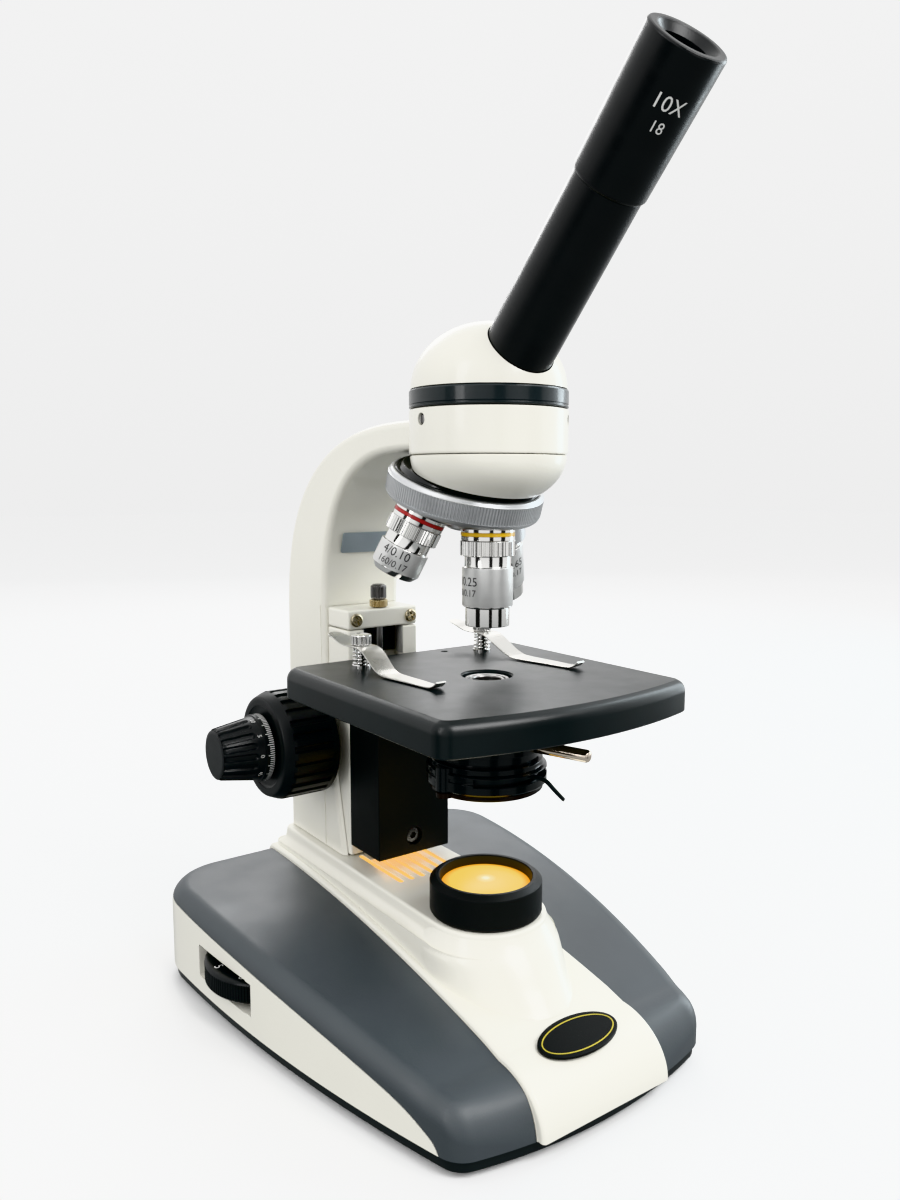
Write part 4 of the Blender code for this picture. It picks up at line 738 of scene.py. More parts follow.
def make_arm():
    rim = in_side_view(arm_outline(), -ARM_HALF, ARM_HALF, ARM_EDGE, 5, lambda m: m.y > 57 and m.x > 8.5)
    arm = piece("arm", rim, "cream", sharp=38)
    cut(arm, rod(27.6, 230, 262, steps=160))
    ring = [(29.8, 256.7), (30.3, 256.5), (RING_R, 256.0), (RING_R, 240.7), (30.2, 239.9), (29.6, 239.7),
            (25.0, 239.7), (25.0, 256.7)]
    join(arm, turned(ring, None, 160, True))
    cut(arm, box((-18.9, 18.9), (60, ARM_FRONT + 0.1), (50, BRACKET_Z[1] + GAP)))
    cut(arm, rod(5.3, -40, 40, ACROSS), box((-6, 6), (90, 109), (DRIVE_Z - 9, DRIVE_Z + 9)))
    for angle, z in SET_SCREWS:
        cut(arm, rod(2.3, 20, 40, along((0, 0, z), azimuth(angle, 1)), 32))
    for side in (-1, 1):
        groove = [(97.4, 57), (98.1, 57), (100.3, 172), (99.6, 172)]
        cut(arm, in_side_view(groove, *sorted((side * 20.5, side * 22))))


def make_arm_fittings():
    for k, (angle, z) in enumerate(SET_SCREWS):
        place = along((0, 0, z), azimuth(angle, 1))
        screw = piece("head_screw_" + ("left", "right")[k],
                      turned([(0, 30.2), (1.5, 30.2), (1.95, 29.8), (1.95, 25.1), (0, 25.1)], place, 32,
                             soft=0.1), "dark_steel")
        cut(screw, placed(box((-0.35, 0.35), (-4, 4), (29.3, 34)), place))
    curve = superellipse(ARM_INNER, ARM_INNER_POWER, 0, 90, 91)
    low = min(curve, key=lambda p: abs(p[1] - 197))
    high = min(curve, key=lambda p: abs(p[1] - 206.5))
    run = Vector((0, high[0] - low[0], high[1] - low[1])).normalized()
    out = Vector((0, -run.z, run.y))
    place = Matrix((run.cross(out), run, out)).transposed().to_4x4()
    place.translation = Vector((1.5, (low[0] + high[0]) / 2, (low[1] + high[1]) / 2)) + out * 0.5
    piece("arm_label", extruded(rounded_box(14.6, 4.9, 1, 8), 0.0, 0.5, place, 0.12, 2), "label")


def guide_channel(z_low, z_high, clear):
    """The dovetail way and the slot for the rack behind it, wider all round by `clear`."""
    c = clear
    plan = [(-10.6 - c, 70), (10.6 + c, 70), (10.6 + c, 82), (13.2 + c, 87.4), (13.2 + c, 90 + c),
            (4.6 + c, 90 + c), (4.6 + c, 99), (-4.6 - c, 99), (-4.6 - c, 90 + c), (-13.2 - c, 90 + c),
            (-13.2 - c, 87.4), (-10.6 - c, 82)]
    return extruded(plan, z_low, z_high)


def make_guide():
    guide = piece("focus_guide", box((-GUIDE_HALF, GUIDE_HALF), GUIDE_Y, GUIDE_Z, 1.0, 4), "cream")
    cut(guide, guide_channel(60.5, GUIDE_Z[1] + 1, GAP), rod(5.7, -25, 25, ACROSS))
    low, high = 149.5, GUIDE_Z[1] - 0.1
    for side, name in ((-1, "left"), (1, "right")):
        strip = [(side * u, v) for u, v in ((10.2, 78.2), (10.95, 78.2), (10.95, 82.1), (13.45, 87.3),
                                            (12.6, 87.3),
                                            (10.2, 82.3))]
        ways = piece("guide_way_" + name, extruded(strip, low, high), "way_steel", "stand", "satin_steel",
                     edge=0.1)
        cut(ways, box(sorted((side * 10.15, side * 10.5)), (78.9, 79.5), (low - 1, high + 1)))
    # a black sheet at the back of the slide channel paints the shade deep inside it
    piece("guide_back", box((-13.2, 13.2), (88.6, 90.1), (low, high), 0.2, 2), "black_satin", "stand",
          "black_metal")
    bracket = piece("guide_bracket", box((-GUIDE_HALF, GUIDE_HALF), (77.8, 97.0), BRACKET_Z, 1.1, 4),
                    "cream")
    cut(bracket, rod(2.4, 150, 180, at(0, STOP_Y, 0)))
    for k, x in enumerate((-14.6, 14.6)):
        place = along((x, 77.8, 167.0), (0, -1, 0))
        cut(bracket, rod(2.0, -9, 2, place, 32))
        name = "bracket_screw_" + ("left", "right")[k]
        screw_head(name, place, 3.1, 1.9, "brass_plated", name, (1.7, 8), True)
    low = BRACKET_Z[1]
    rows = [(2.9, 4.1), (3.3, 4.15), (3.55, 4.45), (3.65, 4.9), (3.65, 4.95), (3.65, 9.65), (3.65, 9.7),
            (3.5, 10.1),
            (2.6, 10.75), (2.3, 10.9)]
    stop = piece("stop_screw", relief(rows, 312, ridges(26, 0.42, 4.9, 9.7, 0.5, 0.5), at(0, STOP_Y, low)),
                 "dark_steel")
    join(stop, rod(2.0, 150.0, 176.5, at(0, STOP_Y, 0), soft=0.3))
    rows = [(3.6, GAP), (4.1, GAP + 0.35), (4.2, 0.8), (4.2, 0.85), (4.2, 3.25), (4.2, 3.3), (4.0, 3.6),
            (3.5, 3.8)]
    nut = piece("stop_nut", relief(rows, 360, ridges(30, 0.4, 0.8, 3.3, 0.5, 0.5), at(0, STOP_Y, low)),
                "brass")
    cut(nut, rod(2.3, low - 2, low + 8, at(0, STOP_Y, 0)))


# ---------------------------------------------------------------- focus drive

def flutes(count, low, high, half, sunk):
    """A depth for `relief`: grooves with round inner ends, running out at the far end."""
    def depth(share, z):
        phase = abs((share * count + 0.5) % 1 - 0.5)
        radius = 14.6 - 0.17 * (z - 57)
        sideways = phase / count * 2 * pi * radius
        back = max(low + half - z, 0)
        away = hypot(sideways, back)
        if z > high:
            return 0.0
        return sunk * min(max((half - away) / 0.55 + 0.5, 0), 1)
    return depth


def make_knobs(side, name):
    place = along((0, DRIVE_Y, DRIVE_Z), (side, 0, 0))
    rows = [(21.6, 23.2), (22.4, 23.3), (23.0, 23.8), (24.6, 24.9), (25.0, 25.4), (25.0, 27.6),
            (25.0, 27.7), (25.0, 45.6),
            (25.0, 45.7), (24.9, 46.4), (24.6, 47.2), (23.9, 48.9), (23.0, 50.9), (22.7, 51.3),
            (22.2, 51.5), (21.0, 51.5)]
    knob = piece("coarse_knob_" + name, relief(rows, 1040, ridges(26, 1.25, 27.65, 46.5, 0.42, 0.16),
                                               place), "black_plastic")
    cut(knob, rod(5.3, 10, 60, place), turned([(0, 60), (19.4, 60), (19.0, 51.2), (17.6, 50.4), (0, 50.4)],
                                              place),
        turned([(0, 40), (17, 40), (19, 20), (0, 20)], place))
    rows = [(13.0, 52.0), (14.9, 52.05), (15.3, 52.4), (15.3, 56.0), (15.2, 56.35), (14.9, 56.5),
            (14.6, 56.6), (14.5, 57.0)]
    rows += [(14.5 - 0.1728 * (x - 57), x) for x in np.linspace(58.2, 72.6, 44)]
    rows += [(11.7, 73.3), (11.4, 74.0), (10.9, 74.5), (10.1, 74.78), (9.0, 74.8)]
    fine = piece("fine_knob_" + name, relief(rows, 720, flutes(18, 59.8, 74.4, 1.3, 1.0), place),
                 "black_plastic")
    cut(fine, rod(3.3, 40, 73.6, place))
    ticks = bmesh.new()
    for k in range(100):
        a = 2 * pi * k / 100
        low, high = 52.5, 52.5 + (3.2 if k % 5 == 0 else 2.2)
        wide = 0.012
        corners = [(a - wide, low), (a + wide, low), (a + wide, high), (a - wide, high)]
        ticks.faces.new([ticks.verts.new((15.34 * cos(b), 15.34 * sin(b), x)) for b, x in corners])
    piece("fine_scale_" + name, (ticks, place, nothing_more), "white_ink", "fine_drive", "black_plastic")
    for k in range(10):
        lettering("fine_mark_%s_%d" % (name, 5 * k), str(5 * k), 2.1, place, 14.62, 36 * k, 58.2,
                  "white_ink",
                  "fine_drive", "black_plastic", -1)


def make_drive():
    make_knobs(-1, "left")
    make_knobs(1, "right")


def text_mesh(text, size):
    """Flat figures of about that height, centred, in their own X and Y."""
    curve = bpy.data.curves.new("figures", "FONT")
    curve.body = text
    curve.size = size * 1.35
    curve.align_x = "CENTER"
    curve.align_y = "CENTER"
    curve.resolution_u = 3
    flat = bpy.data.objects.new("figures", curve)
    bpy.context.scene.collection.objects.link(flat)
    graph = bpy.context.evaluated_depsgraph_get()
    bm = bmesh.new()
    bm.from_mesh(flat.evaluated_get(graph).to_mesh())
    bpy.data.objects.remove(flat, do_unlink=True)
    bmesh.ops.triangulate(bm, faces=bm.faces)
    return bm


def flat_lettering(name, text, size, place, ink, body, slot):
    piece(name, (text_mesh(text, size), place, nothing_more), ink, body, slot)


def lettering(name, text, size, place, radius, angle, height, ink, body, slot, up=1):
    """Figures wrapped round the frame's Z at a radius. `angle` is their middle, `up` which way they stand."""
    bm = text_mesh(text, size)
    bmesh.ops.subdivide_edges(bm, edges=[e for e in bm.edges if e.calc_length() > 0.9], cuts=2)
    for v in bm.verts:
        a = radians(angle) + up * v.co.x / radius
        v.co = Vector((radius * cos(a), radius * sin(a), height + up * v.co.y))
    bmesh.ops.recalc_face_normals(bm, faces=bm.faces)
    piece(name, (bm, place, nothing_more), ink, body, slot)


def make_carrier():
    carrier = piece("stage_carrier", box((-CARRIER_HALF, CARRIER_HALF), CARRIER_Y, CARRIER_Z, 0.5, 3),
                    "black_powder")
    way = object_of("carrier_slider", guide_channel(66.0, 136.0, 0.0))
    keep(way, box((-20, 20), (76, 90), (60, 140)))
    join(carrier, way)
    front = along((0, CARRIER_Y[0], 70.2), (0, 1, 0))
    cut(carrier, rod(4.05, -2, 8.6, front))
    screw = piece("carrier_screw", rod(3.7, 1.4, 8.3, front, 64, 0.4), "dark_steel")
    hexagon = [(1.7 * cos(radians(a)), 1.7 * sin(radians(a))) for a in range(0, 360, 60)]
    cut(screw, placed(extruded(hexagon, -2, 4.4), front))


# ---------------------------------------------------------------- stage

def stage_outline(inset=0.0):
    """Plan of the stage, with a front that bows out between two small corners."""
    half, corner = STAGE_HALF - inset, 7.0 - min(inset, 4.5)
    radius = (STAGE_HALF**2 + STAGE_BOW**2) / (2 * STAGE_BOW)
    centre = (0.0, STAGE_FRONT - STAGE_BOW + radius)
    fillet_x = half - corner
    fillet_y = centre[1] - sqrt((radius - inset - corner)**2 - fillet_x**2)
    lean = degrees(atan2(fillet_x, centre[1] - fillet_y))
    plan = arc(centre, radius - inset, -90 - lean, -90 + lean, 49)
    plan += arc((fillet_x, fillet_y), corner, -90 + lean, 0, 12)[1:]
    plan += arc((half - corner, STAGE_BACK - inset - corner), corner, 0, 90, 12)
    plan += arc((corner - half, STAGE_BACK - inset - corner), corner, 90, 180, 12)
    plan += arc((-fillet_x, fillet_y), corner, 180, 270 - lean, 12)[:-1]
    return plan


def make_stage():
    rings = [[(x, y, z) for x, y in stage_outline(inset)] for z, inset in
             [(STAGE_SKIRT, 0.5), (STAGE_SKIRT + 0.5, 0.0)]
             + [(STAGE_Z[1] - 0.35 - 4.4 * (1 - sin(a)), 3.6 * (1 - cos(a))) for a in np.linspace(0,
                                                                                                  pi * 0.4,
                                                                                                  10)]
             + [(STAGE_Z[1] - 0.1, 3.3), (STAGE_Z[1], 3.6)]]
    stage = piece("stage_plate", lofted(rings), "black_satin", sharp=32)
    cut(stage, extruded(stage_outline(3.9), 130, STAGE_Z[0]))
    cut(stage, turned([(0, 160), (STAGE_APERTURE + 0.5, 160), (STAGE_APERTURE + 0.5, 153.1),
                       (STAGE_APERTURE, 152.6),
                       (STAGE_APERTURE, 140), (0, 140)]), rod(1.6, 140, 160, at(16.2, 52, 0), 24))
    cut(stage, box((-19.3, 19.3), (44, 70), (130, STAGE_Z[0] + 0.01)))
    for x, y in CLIP_POSTS.values():
        cut(stage, rod(2.3, 140, 160, at(x, y, 0), 32))


def make_clips():
    for side, (x, y) in CLIP_POSTS.items():
        top = STAGE_Z[1]
        blade = smooth_curve(CLIP_PATHS[side], 8)
        tail = Vector(blade[0][:3]) - Vector(blade[3][:3])
        tail = tail.normalized() * 2.6
        start = [(blade[0][0] + tail.x * t, blade[0][1] + tail.y * t, blade[0][2] + tail.z * t, w)
                 for t, w in ((1.0, 1.2), (0.96, 2.6), (0.85, 4.6), (0.7, 6.0), (0.45, 7.2), (0.2, 7.9))]
        wider = [(px, py, pz, w + max(8.4 - w, 0) * max(1 - i / 26, 0)) for i,
                 (px, py, pz, w) in enumerate(blade)]
        clip = piece("clip_" + side, ribbon(start + wider, 0.6, 0.25), "clip_steel", sharp=50)
        cut(clip, rod(2.4, 155, 170, at(x, y, 0)))
        rows = [(3.2, 9.2), (3.9, 9.25), (4.2, 9.5), (4.2, 9.55), (4.2, 12.85), (4.2, 12.9), (4.0, 13.25),
                (3.6, 13.4),
                (3.3, 13.4), (3.15, 13.25), (1.2, 13.25)]
        post = piece("clip_post_" + side, relief(rows, 400, ridges(20, 0.5, 9.5, 12.88, 0.5, 0.5),
                                                 at(x, y, top)), "chrome")
        join(post, rod(2.0, 149.4, 163.2, at(x, y, 0)))
        piece("clip_collar_" + side, turned([(2.1, 1.0), (3.7, 1.0), (4.0, 0.7), (4.0, 0.05), (2.1, 0.05)],
                                            at(x, y, top), 64, True), "chrome", "stage", "chrome")
        piece("clip_spring_" + side, helix(3.3, 0.45, top + 1.3, 160.6, 4.5, (x, y)), "chrome")


# ---------------------------------------------------------------- condenser

def sector(inner, outer, start, end, low, high):
    """A piece of a ring between two azimuths, for slots that a lever swings in."""
    angles = np.linspace(start, end, 33)
    plan = [azimuth(a, outer)[:2] for a in angles] + [azimuth(a, inner)[:2] for a in angles[::-1]]
    return extruded(plan, low, high)


def make_condenser():
    holder = piece("condenser_holder", turned([(19.6, 141), (20.6, 141), (SLEEVE_R, 140.6),
                                               (SLEEVE_R, 122.0),
                                               (19.6, 122.0)], None, 160, True, soft=0.2), "black_gloss")
    bridge = object_of("holder_bridge", box((-13, 13), (14, 52.2), (131.4, 139.6), 0.6, 3))
    cut(bridge, rod(20.2, 120, 150, steps=96))
    join(holder, bridge)
    place = along((0, 0, LEVER_Z), azimuth(LEVER_AZIMUTH, 1))
    piece("condenser_lever", turned([(21.3, 2.8), (22.5, 2.8), (22.5, -2.8), (21.3, -2.8)],
                                    at(0, 0, LEVER_Z), 128, True, soft=0.2), "black_gloss")
    reach = LEVER_REACH
    # the rod's chrome is tinted warm: a painted reflection of the lamp below
    piece("condenser_rod", turned([(0, reach), (1.4, reach - 0.12), (2.1, reach - 0.5), (2.5, reach - 1.3),
                                   (2.5, 22.4),
                                   (0, 22.4)], place, 64), "lamp_reflection_chrome", "lever", "chrome")
    x, y = FILTER_PIVOT
    low, high = CONDENSER_Z
    profile = [(10, 148.0), (13.6, 148.0), (19.2, 143.2), (19.2, high), (22.3, high), (22.6, high - 0.3),
               (22.6, high - 2.2),
               (23.7, high - 2.5), (CONDENSER_R, high - 2.9), (CONDENSER_R, 116.6), (23.6, 116.4),
               (23.6, 115.4),
               (CONDENSER_R, 115.2), (CONDENSER_R, low + 0.6), (23.6, low), (13, low), (13, 113.8),
               (21.9, 113.8),
               (21.9, 118.2), (13, 118.2), (13, 138), (10, 141)]
    barrel = piece("condenser_barrel", turned(profile, None, 160, True, soft=0.15), "black_gloss")
    join(barrel, rod(3.6, low + 0.2, high - 0.4, at(x, y, 0)))
    cut(barrel, rod(21.9, 113.8, 118.2, steps=160), rod(1.7, 105, 113.4, at(x, y, 0), 32))
    cut(barrel, sector(20, 28, IRIS_AZIMUTH - 66, IRIS_AZIMUTH + 31, 114.4, 117.8))
    piece("condenser_lens", turned([(0, 147.9), (2, 147.8), (4, 147.55), (6, 147.1), (8, 146.4),
                                    (9.7, 145.4),
                                    (9.7, 141.6), (0, 141.6)], None, 96), "glass")
    rim = [(5.6, 151.5), (5.9, 151.9), (6.7, 152.0), (6.9, 151.4), (7.2, 151.4), (7.4, 152.1),
           (8.6, 152.2), (9.0, 151.8),
           (9.2, 147.9), (5.6, 147.9)]
    piece("condenser_rim", turned(rim, None, 128, True, soft=0.1), "dark_steel", "condenser",
          "satin_steel")
    iris = piece("iris_ring", turned([(6.5, 0.9), (21.4, 0.9), (21.4, -0.9), (6.5, -0.9)], at(0, 0, 116),
                                     128, True),
                 "black_satin")
    tip = azimuth(IRIS_AZIMUTH, 1)
    path = [(tip[0] * r, tip[1] * r, z, w) for r, z, w in
            smooth_curve(((20.4, 116, 2.6), (25.4, 116, 2.2), (28.6, 115.2, 2.0), (32.4, 112.4, 1.9),
                          (36.0, 109.9, 1.7),
                          (36.4, 109.6, 0.9)), 5)]
    join(iris, ribbon(path, 1.3, 0.4))
    # the filter holder's warm brown tint is a painted reflection of the lamp below
    ring = piece("filter_holder", turned([(16.6, 110.7), (22.1, 110.7), (22.7, 110.2), (22.7, 108.9),
                                          (22.1, 108.4),
                                          (16.6, 108.4)], None, 160, True, soft=0.15), "black_with_lamp_reflection")
    join(ring, rod(3.4, 108.6, 110.5, at(x, y, 0)), rod(1.4, 109, 113.1, at(x, y, 0), 24))


# ---------------------------------------------------------------- head and turret

def make_head():
    dome = [(DOME_R * cos(radians(a)), 264.3 + DOME_RISE * sin(radians(a))) for a in np.linspace(90, 0,
                                                                                                 31)]
    inner = [(26.0 * cos(radians(a)), 264.3 + 21.3 * sin(radians(a))) for a in np.linspace(0, 90, 13)]
    dome[0], inner[-1] = (0, dome[0][1]), (0, inner[-1][1])
    shell = piece("head_dome", turned(dome + inner, None, 160), "cream", sharp=38)
    cut(shell, rod(13.4, 22, 60, TUBE, 96))
    band = [(14.6, BAND_TOP), (29.7, BAND_TOP), (30.3, BAND_TOP - 0.15), (RING_R, BAND_TOP - 0.7),
            (RING_R, 258.5),
            (30.3, 258.3), (30.3, 258.0), (RING_R, 257.8), (RING_R, 257.4), (30.2, 257.0), (24.6, 257.0),
            (24.6, 248.4),
            (14.6, 248.4)]
    piece("head_band", turned(band, None, 160, True, soft=0.1), "band_black")
    (low, high), (wide, slim) = TUBE_ENDS, TUBE_RADII
    piece("eyepiece_tube", turned([(11.75, high), (slim - 0.1, high), (slim, high - 0.3), (wide, low),
                                   (11.75, low)],
                                  TUBE, 144, True), "tube_black")
    top = EYEPIECE_TOP
    profile = [(9.6, 138.4), (9.9, 138.75), (10.4, top), (12.1, top), (12.65, top - 0.2),
               (EYEPIECE_R, top - 0.75),
               (EYEPIECE_R, 95.0), (12.9, 94.55), (12.6, TUBE_ENDS[1] + GAP), (11.4, TUBE_ENDS[1] + GAP),
               (11.4, 62),
               (9.0, 62), (9.0, 131.6), (7.6, 133), (7.6, 136.6)]
    piece("eyepiece", turned(profile, TUBE, 160, True, soft=0.12), "tube_black")
    lens = [(0, 131.2), (2, 131.15), (4, 131.0), (5.5, 130.65), (7, 130.2), (8.7, 129.2), (8.7, 126.6),
            (0, 126.6)]
    piece("eye_lens", turned(lens, TUBE, 96), "glass")
    lettering("eyepiece_power", "10X", 4.6, TUBE, EYEPIECE_R + 0.05, TEXT_ANGLE, 124.4, "white_ink",
              "ocular", "black_plastic")
    lettering("eyepiece_field", "18", 3.5, TUBE, EYEPIECE_R + 0.05, TEXT_ANGLE, 117.8, "white_ink",
              "ocular", "black_plastic")


def seat_frame(quarter):
    """Frame at an objective's shoulder, with Z up its own axis. Quarter 0 stands on the optical axis."""
    spin = Matrix.Rotation(radians(90 * quarter), 4, TURRET_UP)
    about = at(*TURRET_AT) @ spin @ at(*[-c for c in TURRET_AT])
    return about @ at(0, 0, SHOULDER_Z)


def make_mount():
    bowl = [(BOWL_R * cos(radians(a)), 239.4 - BOWL_DEPTH * sin(radians(a))) for a in np.linspace(0, 68,
                                                                                                  26)]
    profile = [(9.5, 246.5), (24.6, 246.5), (24.6, 239.4)] + [(BOWL_R - 0.4, 239.4),
                                                              (BOWL_R, 239.0)] + bowl[1:] + [(9.5,
                                                                                              bowl[-1][1])]
    mount = piece("nosepiece_mount", turned(profile, None, 160, True), "cream", sharp=38)
    cut(mount, placed(box((-60, 60), (-60, 60), (-60, 16.5)), TURRET))
    collar = [(0, 16.2), (26.0, 16.2), (26.6, 15.8), (27.1, 14.7), (27.5, 14.2), (28.1, 14.2),
              (28.4, 14.5),
              (29.0, 14.5), (29.3, 14.2), (29.3, 12.0), (0, 12.0)]
    disc = piece("nosepiece_plate", turned(collar, TURRET, 160), "black_gloss")
    cut(disc, rod(9.5, 200, 250, steps=64))


def make_turret():
    rows = [(28.6, 3.0), (30.6, 3.4), (31.4, 4.3), (RIM_R, 5.15), (RIM_R, 5.2), (RIM_R, 12.1),
            (RIM_R, 12.15),
            (31.4, 12.35), (31.2, 12.6), (30.95, 13.2), (30.5, 13.7), (29.9, 14.0)]
    turret = piece("nosepiece", relief(rows, 1280, ridges(160, 0.6, 5.18, 12.12, 0.5, 0.4), TURRET),
                   "aluminium",
                   sharp=30)
    cut(turret, rod(29.5, 6.7, 17, TURRET, 160))
    cone = [(0, 5.0), (28.8, 5.0), (28.8, 3.0), (27.6, 2.3), (7, -3.6), (7, -5.6), (6, -6.5), (0, -6.5)]
    join(turret, turned(cone, TURRET, 128, soft=0.3))
    for quarter in range(4):
        join(turret, rod(12.2, GAP, 2.3, seat_frame(quarter), 64, 0.2))
    for quarter in (0, 1, 3):
        cut(turret, rod(11.4, -12, GAP, seat_frame(quarter), 64), rod(8.7, -2, 20, seat_frame(quarter)))
    join(turret, turned([(0, 1.2), (10.4, 1.2), (10.4, -2.4), (9.6, -3.2), (0, -3.2)], seat_frame(2), 64,
                        soft=0.3))


def make_objectives():
    """Each objective is one bright body, with a satin sleeve, a colour ring and its figures on it."""
    head = [(9.15, 14.7), (9.15, 11.1), (10.3, 10.9), (10.75, 10.75), (10.9, 10.5), (10.9, 10.45),
            (10.9, 5.15),
            (10.9, 5.1), (10.75, 4.85), (10.5, 4.7), (10.5, 4.45), (10.56, 4.4), (10.56, 3.2),
            (10.35, 3.1), (10.35, 1.7),
            (10.56, 1.6), (10.56, 0.5), (10.35, 0.15), (9.9, 0.0), (8.4, 0.0), (8.4, -3.6)]
    tips = {
        "4x": ((7.4, 26.8), (7.6, 27.0), (8.2, 27.0), (8.4, 26.8), (9.75, 25.0), (9.95, 24.7)),
        "10x": ((6.6, 38.3), (6.9, 38.5), (8.3, 38.5), (8.65, 38.35), (8.8, 38.0), (8.8, 31.2),
                (9.0, 30.9), (9.7, 30.75),
                (9.95, 30.5)),
        "40x": ((2.9, 44.4), (3.4, 44.4), (3.7, 44.2), (7.0, 41.2), (7.3, 41.05), (9.0, 40.2), (9.3, 39.9),
                (9.3, 34.6),
                (9.5, 34.3), (9.8, 34.1), (9.95, 33.8)),
    }
    marks = {"4x": (3, "4/0.10", "ring_red"), "10x": (0, "10/0.25", "ring_yellow"),
             "40x": (1, "40/0.65", "ring_blue")}
    bores = {"4x": [(0, -20), (6.2, -20), (6.8, -30), (0, -30)],
             "10x": [(0, -37.2), (4.6, -37.2), (5.2, -42), (0, -42)],
             "40x": [(0, -44.0), (1.6, -44.0), (2.0, -46), (0, -46)]}
    for power, tip in tips.items():
        quarter, figures, band = marks[power]
        seat = seat_frame(quarter)
        start = tip[-1][1] - 0.3
        rows = [(r, -q) for r, q in list(tip) + [(9.95, start), (9.95, 15.5), (9.8, 15.25),
                                                 (9.3, 15.0)] + head]
        body = piece("objective_" + power, relief(rows, 480, ridges(48, 0.45, -10.47, -5.12, 0.5, 0.5),
                                                  seat), "chrome",
                     sharp=30)
        cut(body, rod(5.6, -8, 12, seat), turned(bores[power], seat, 48))
        sleeve = [(9.93, -15.3), (10.05, -15.45), (10.05, -start), (9.93, -start - 0.2), (9.9, -start),
                  (9.9, -15.4)]
        piece("sleeve_" + power, turned(sleeve, seat, 160, True), "satin_barrel", "turret", "satin_steel")
        piece("ring_" + power, turned([(10.3, -1.72), (10.52, -1.72), (10.6, -1.8), (10.6, -3.0),
                                       (10.52, -3.08), (10.3, -3.08)],
                                      seat, 160, True), band, "turret", "chrome")
        middle = -(15.3 + start) / 2
        letter_angle = MARK_ANGLES[power]
        lettering("power_" + power, figures, 3.6, seat, 10.09, letter_angle, middle + 2.0, "black_ink",
                  "turret", "chrome")
        lettering("length_" + power, "160/0.17", 2.8, seat, 10.09, letter_angle, middle - 2.4, "black_ink",
                  "turret", "chrome")



# ---------------------------------------------------------------- finishes

def finish(name, colour, metallic=0.0, roughness=0.4, grain=0.0, scale=900.0, drift=0.0, rough_drift=0.0,
           stretch=None,
           coat=0.0, coat_roughness=0.05, specular=0.5, emission=None, strength=0.0, transmission=0.0,
           speckle=0.0):
    """A procedural material. `grain` is the height of its fine relief in metres, `scale` how many of its
    features there are in a metre, `drift` how far its colour wanders and `rough_drift` its roughness."""
    material = bpy.data.materials.new(name)
    material.use_nodes = True
    nodes, links = material.node_tree.nodes, material.node_tree.links
    shader = nodes["Principled BSDF"]
    values = {"Base Color": (*colour, 1), "Metallic": metallic, "Roughness": roughness,
              "Coat Weight": coat,
              "Coat Roughness": coat_roughness, "Specular IOR Level": specular,
              "Transmission Weight": transmission}
    if emission:
        values["Emission Color"] = (*emission, 1)
        values["Emission Strength"] = strength
    for key, value in values.items():
        shader.inputs[key].default_value = value
    place = nodes.new("ShaderNodeTexCoord").outputs["Object"]
    if stretch:
        mapping = nodes.new("ShaderNodeMapping")
        mapping.inputs["Scale"].default_value = stretch
        links.new(place, mapping.inputs["Vector"])
        place = mapping.outputs["Vector"]

    def noise(feature, detail=3.0):
        node = nodes.new("ShaderNodeTexNoise")
        node.inputs["Scale"].default_value = feature
        node.inputs["Detail"].default_value = detail
        links.new(place, node.inputs["Vector"])
        return node.outputs["Fac"]

    def ranged(value, low, high, start=0.3, end=0.7):
        node = nodes.new("ShaderNodeMapRange")
        for key, number in (("From Min", start), ("From Max", end), ("To Min", low), ("To Max", high)):
            node.inputs[key].default_value = number
        links.new(value, node.inputs["Value"])
        return node.outputs["Result"]
    if drift or speckle:
        mix = nodes.new("ShaderNodeMix")
        mix.data_type = "RGBA"
        mix.inputs["A"].default_value = (*[c * (1 - drift) for c in colour], 1)
        mix.inputs["B"].default_value = (*[min(c * (1 + drift) + speckle, 1) for c in colour], 1)
        if speckle:
            links.new(ranged(noise(scale * 1.3, 1.0), 0, 1, 0.66, 0.74), mix.inputs["Factor"])
        else:
            links.new(ranged(noise(28.0), 0, 1), mix.inputs["Factor"])
        links.new(mix.outputs["Result"], shader.inputs["Base Color"])
    if rough_drift:
        links.new(ranged(noise(60.0, 5.0), roughness - rough_drift, roughness + rough_drift),
                  shader.inputs["Roughness"])
    if grain:
        bump = nodes.new("ShaderNodeBump")
        bump.inputs["Distance"].default_value = grain
        bump.inputs["Strength"].default_value = 1.0
        links.new(noise(scale, 2.0), bump.inputs["Height"])
        links.new(bump.outputs["Normal"], shader.inputs["Normal"])
    return material


def glowing(name, centre, rim, core, strength):
    """A lit diffuser: brightest at a small spot in its middle, and deeper in colour to its rim."""
    material = finish(name, [c * 0.03 for c in rim], roughness=0.3, specular=0.2)
    nodes, links = material.node_tree.nodes, material.node_tree.links
    shader = nodes["Principled BSDF"]
    place = nodes.new("ShaderNodeTexCoord").outputs["Object"]
    flat = nodes.new("ShaderNodeVectorMath")
    flat.operation = "MULTIPLY"
    flat.inputs[1].default_value = (1, 1, 0)
    links.new(place, flat.inputs[0])
    length = nodes.new("ShaderNodeVectorMath")
    length.operation = "LENGTH"
    links.new(flat.outputs[0], length.inputs[0])
    share = nodes.new("ShaderNodeMath")
    share.operation = "MULTIPLY"
    share.inputs[1].default_value = 1000 / LENS_R
    links.new(length.outputs["Value"], share.inputs[0])
    ramp = nodes.new("ShaderNodeValToRGB")
    stops = ramp.color_ramp.elements
    stops[0].position, stops[0].color = 0.0, (*core, 1)
    stops[1].position, stops[1].color = 1.0, (*rim, 1)
    for where, colour in ((0.05, core), (0.11, [0.6 * a + 0.4 * b for a, b in zip(centre, core)]),
                          (0.24, centre),
                          (0.8, centre)):
        stop = stops.new(where)
        stop.color = (*colour, 1)
    links.new(share.outputs[0], ramp.inputs["Fac"])
    links.new(ramp.outputs["Color"], shader.inputs["Emission Color"])
    shader.inputs["Emission Strength"].default_value = strength
    return material


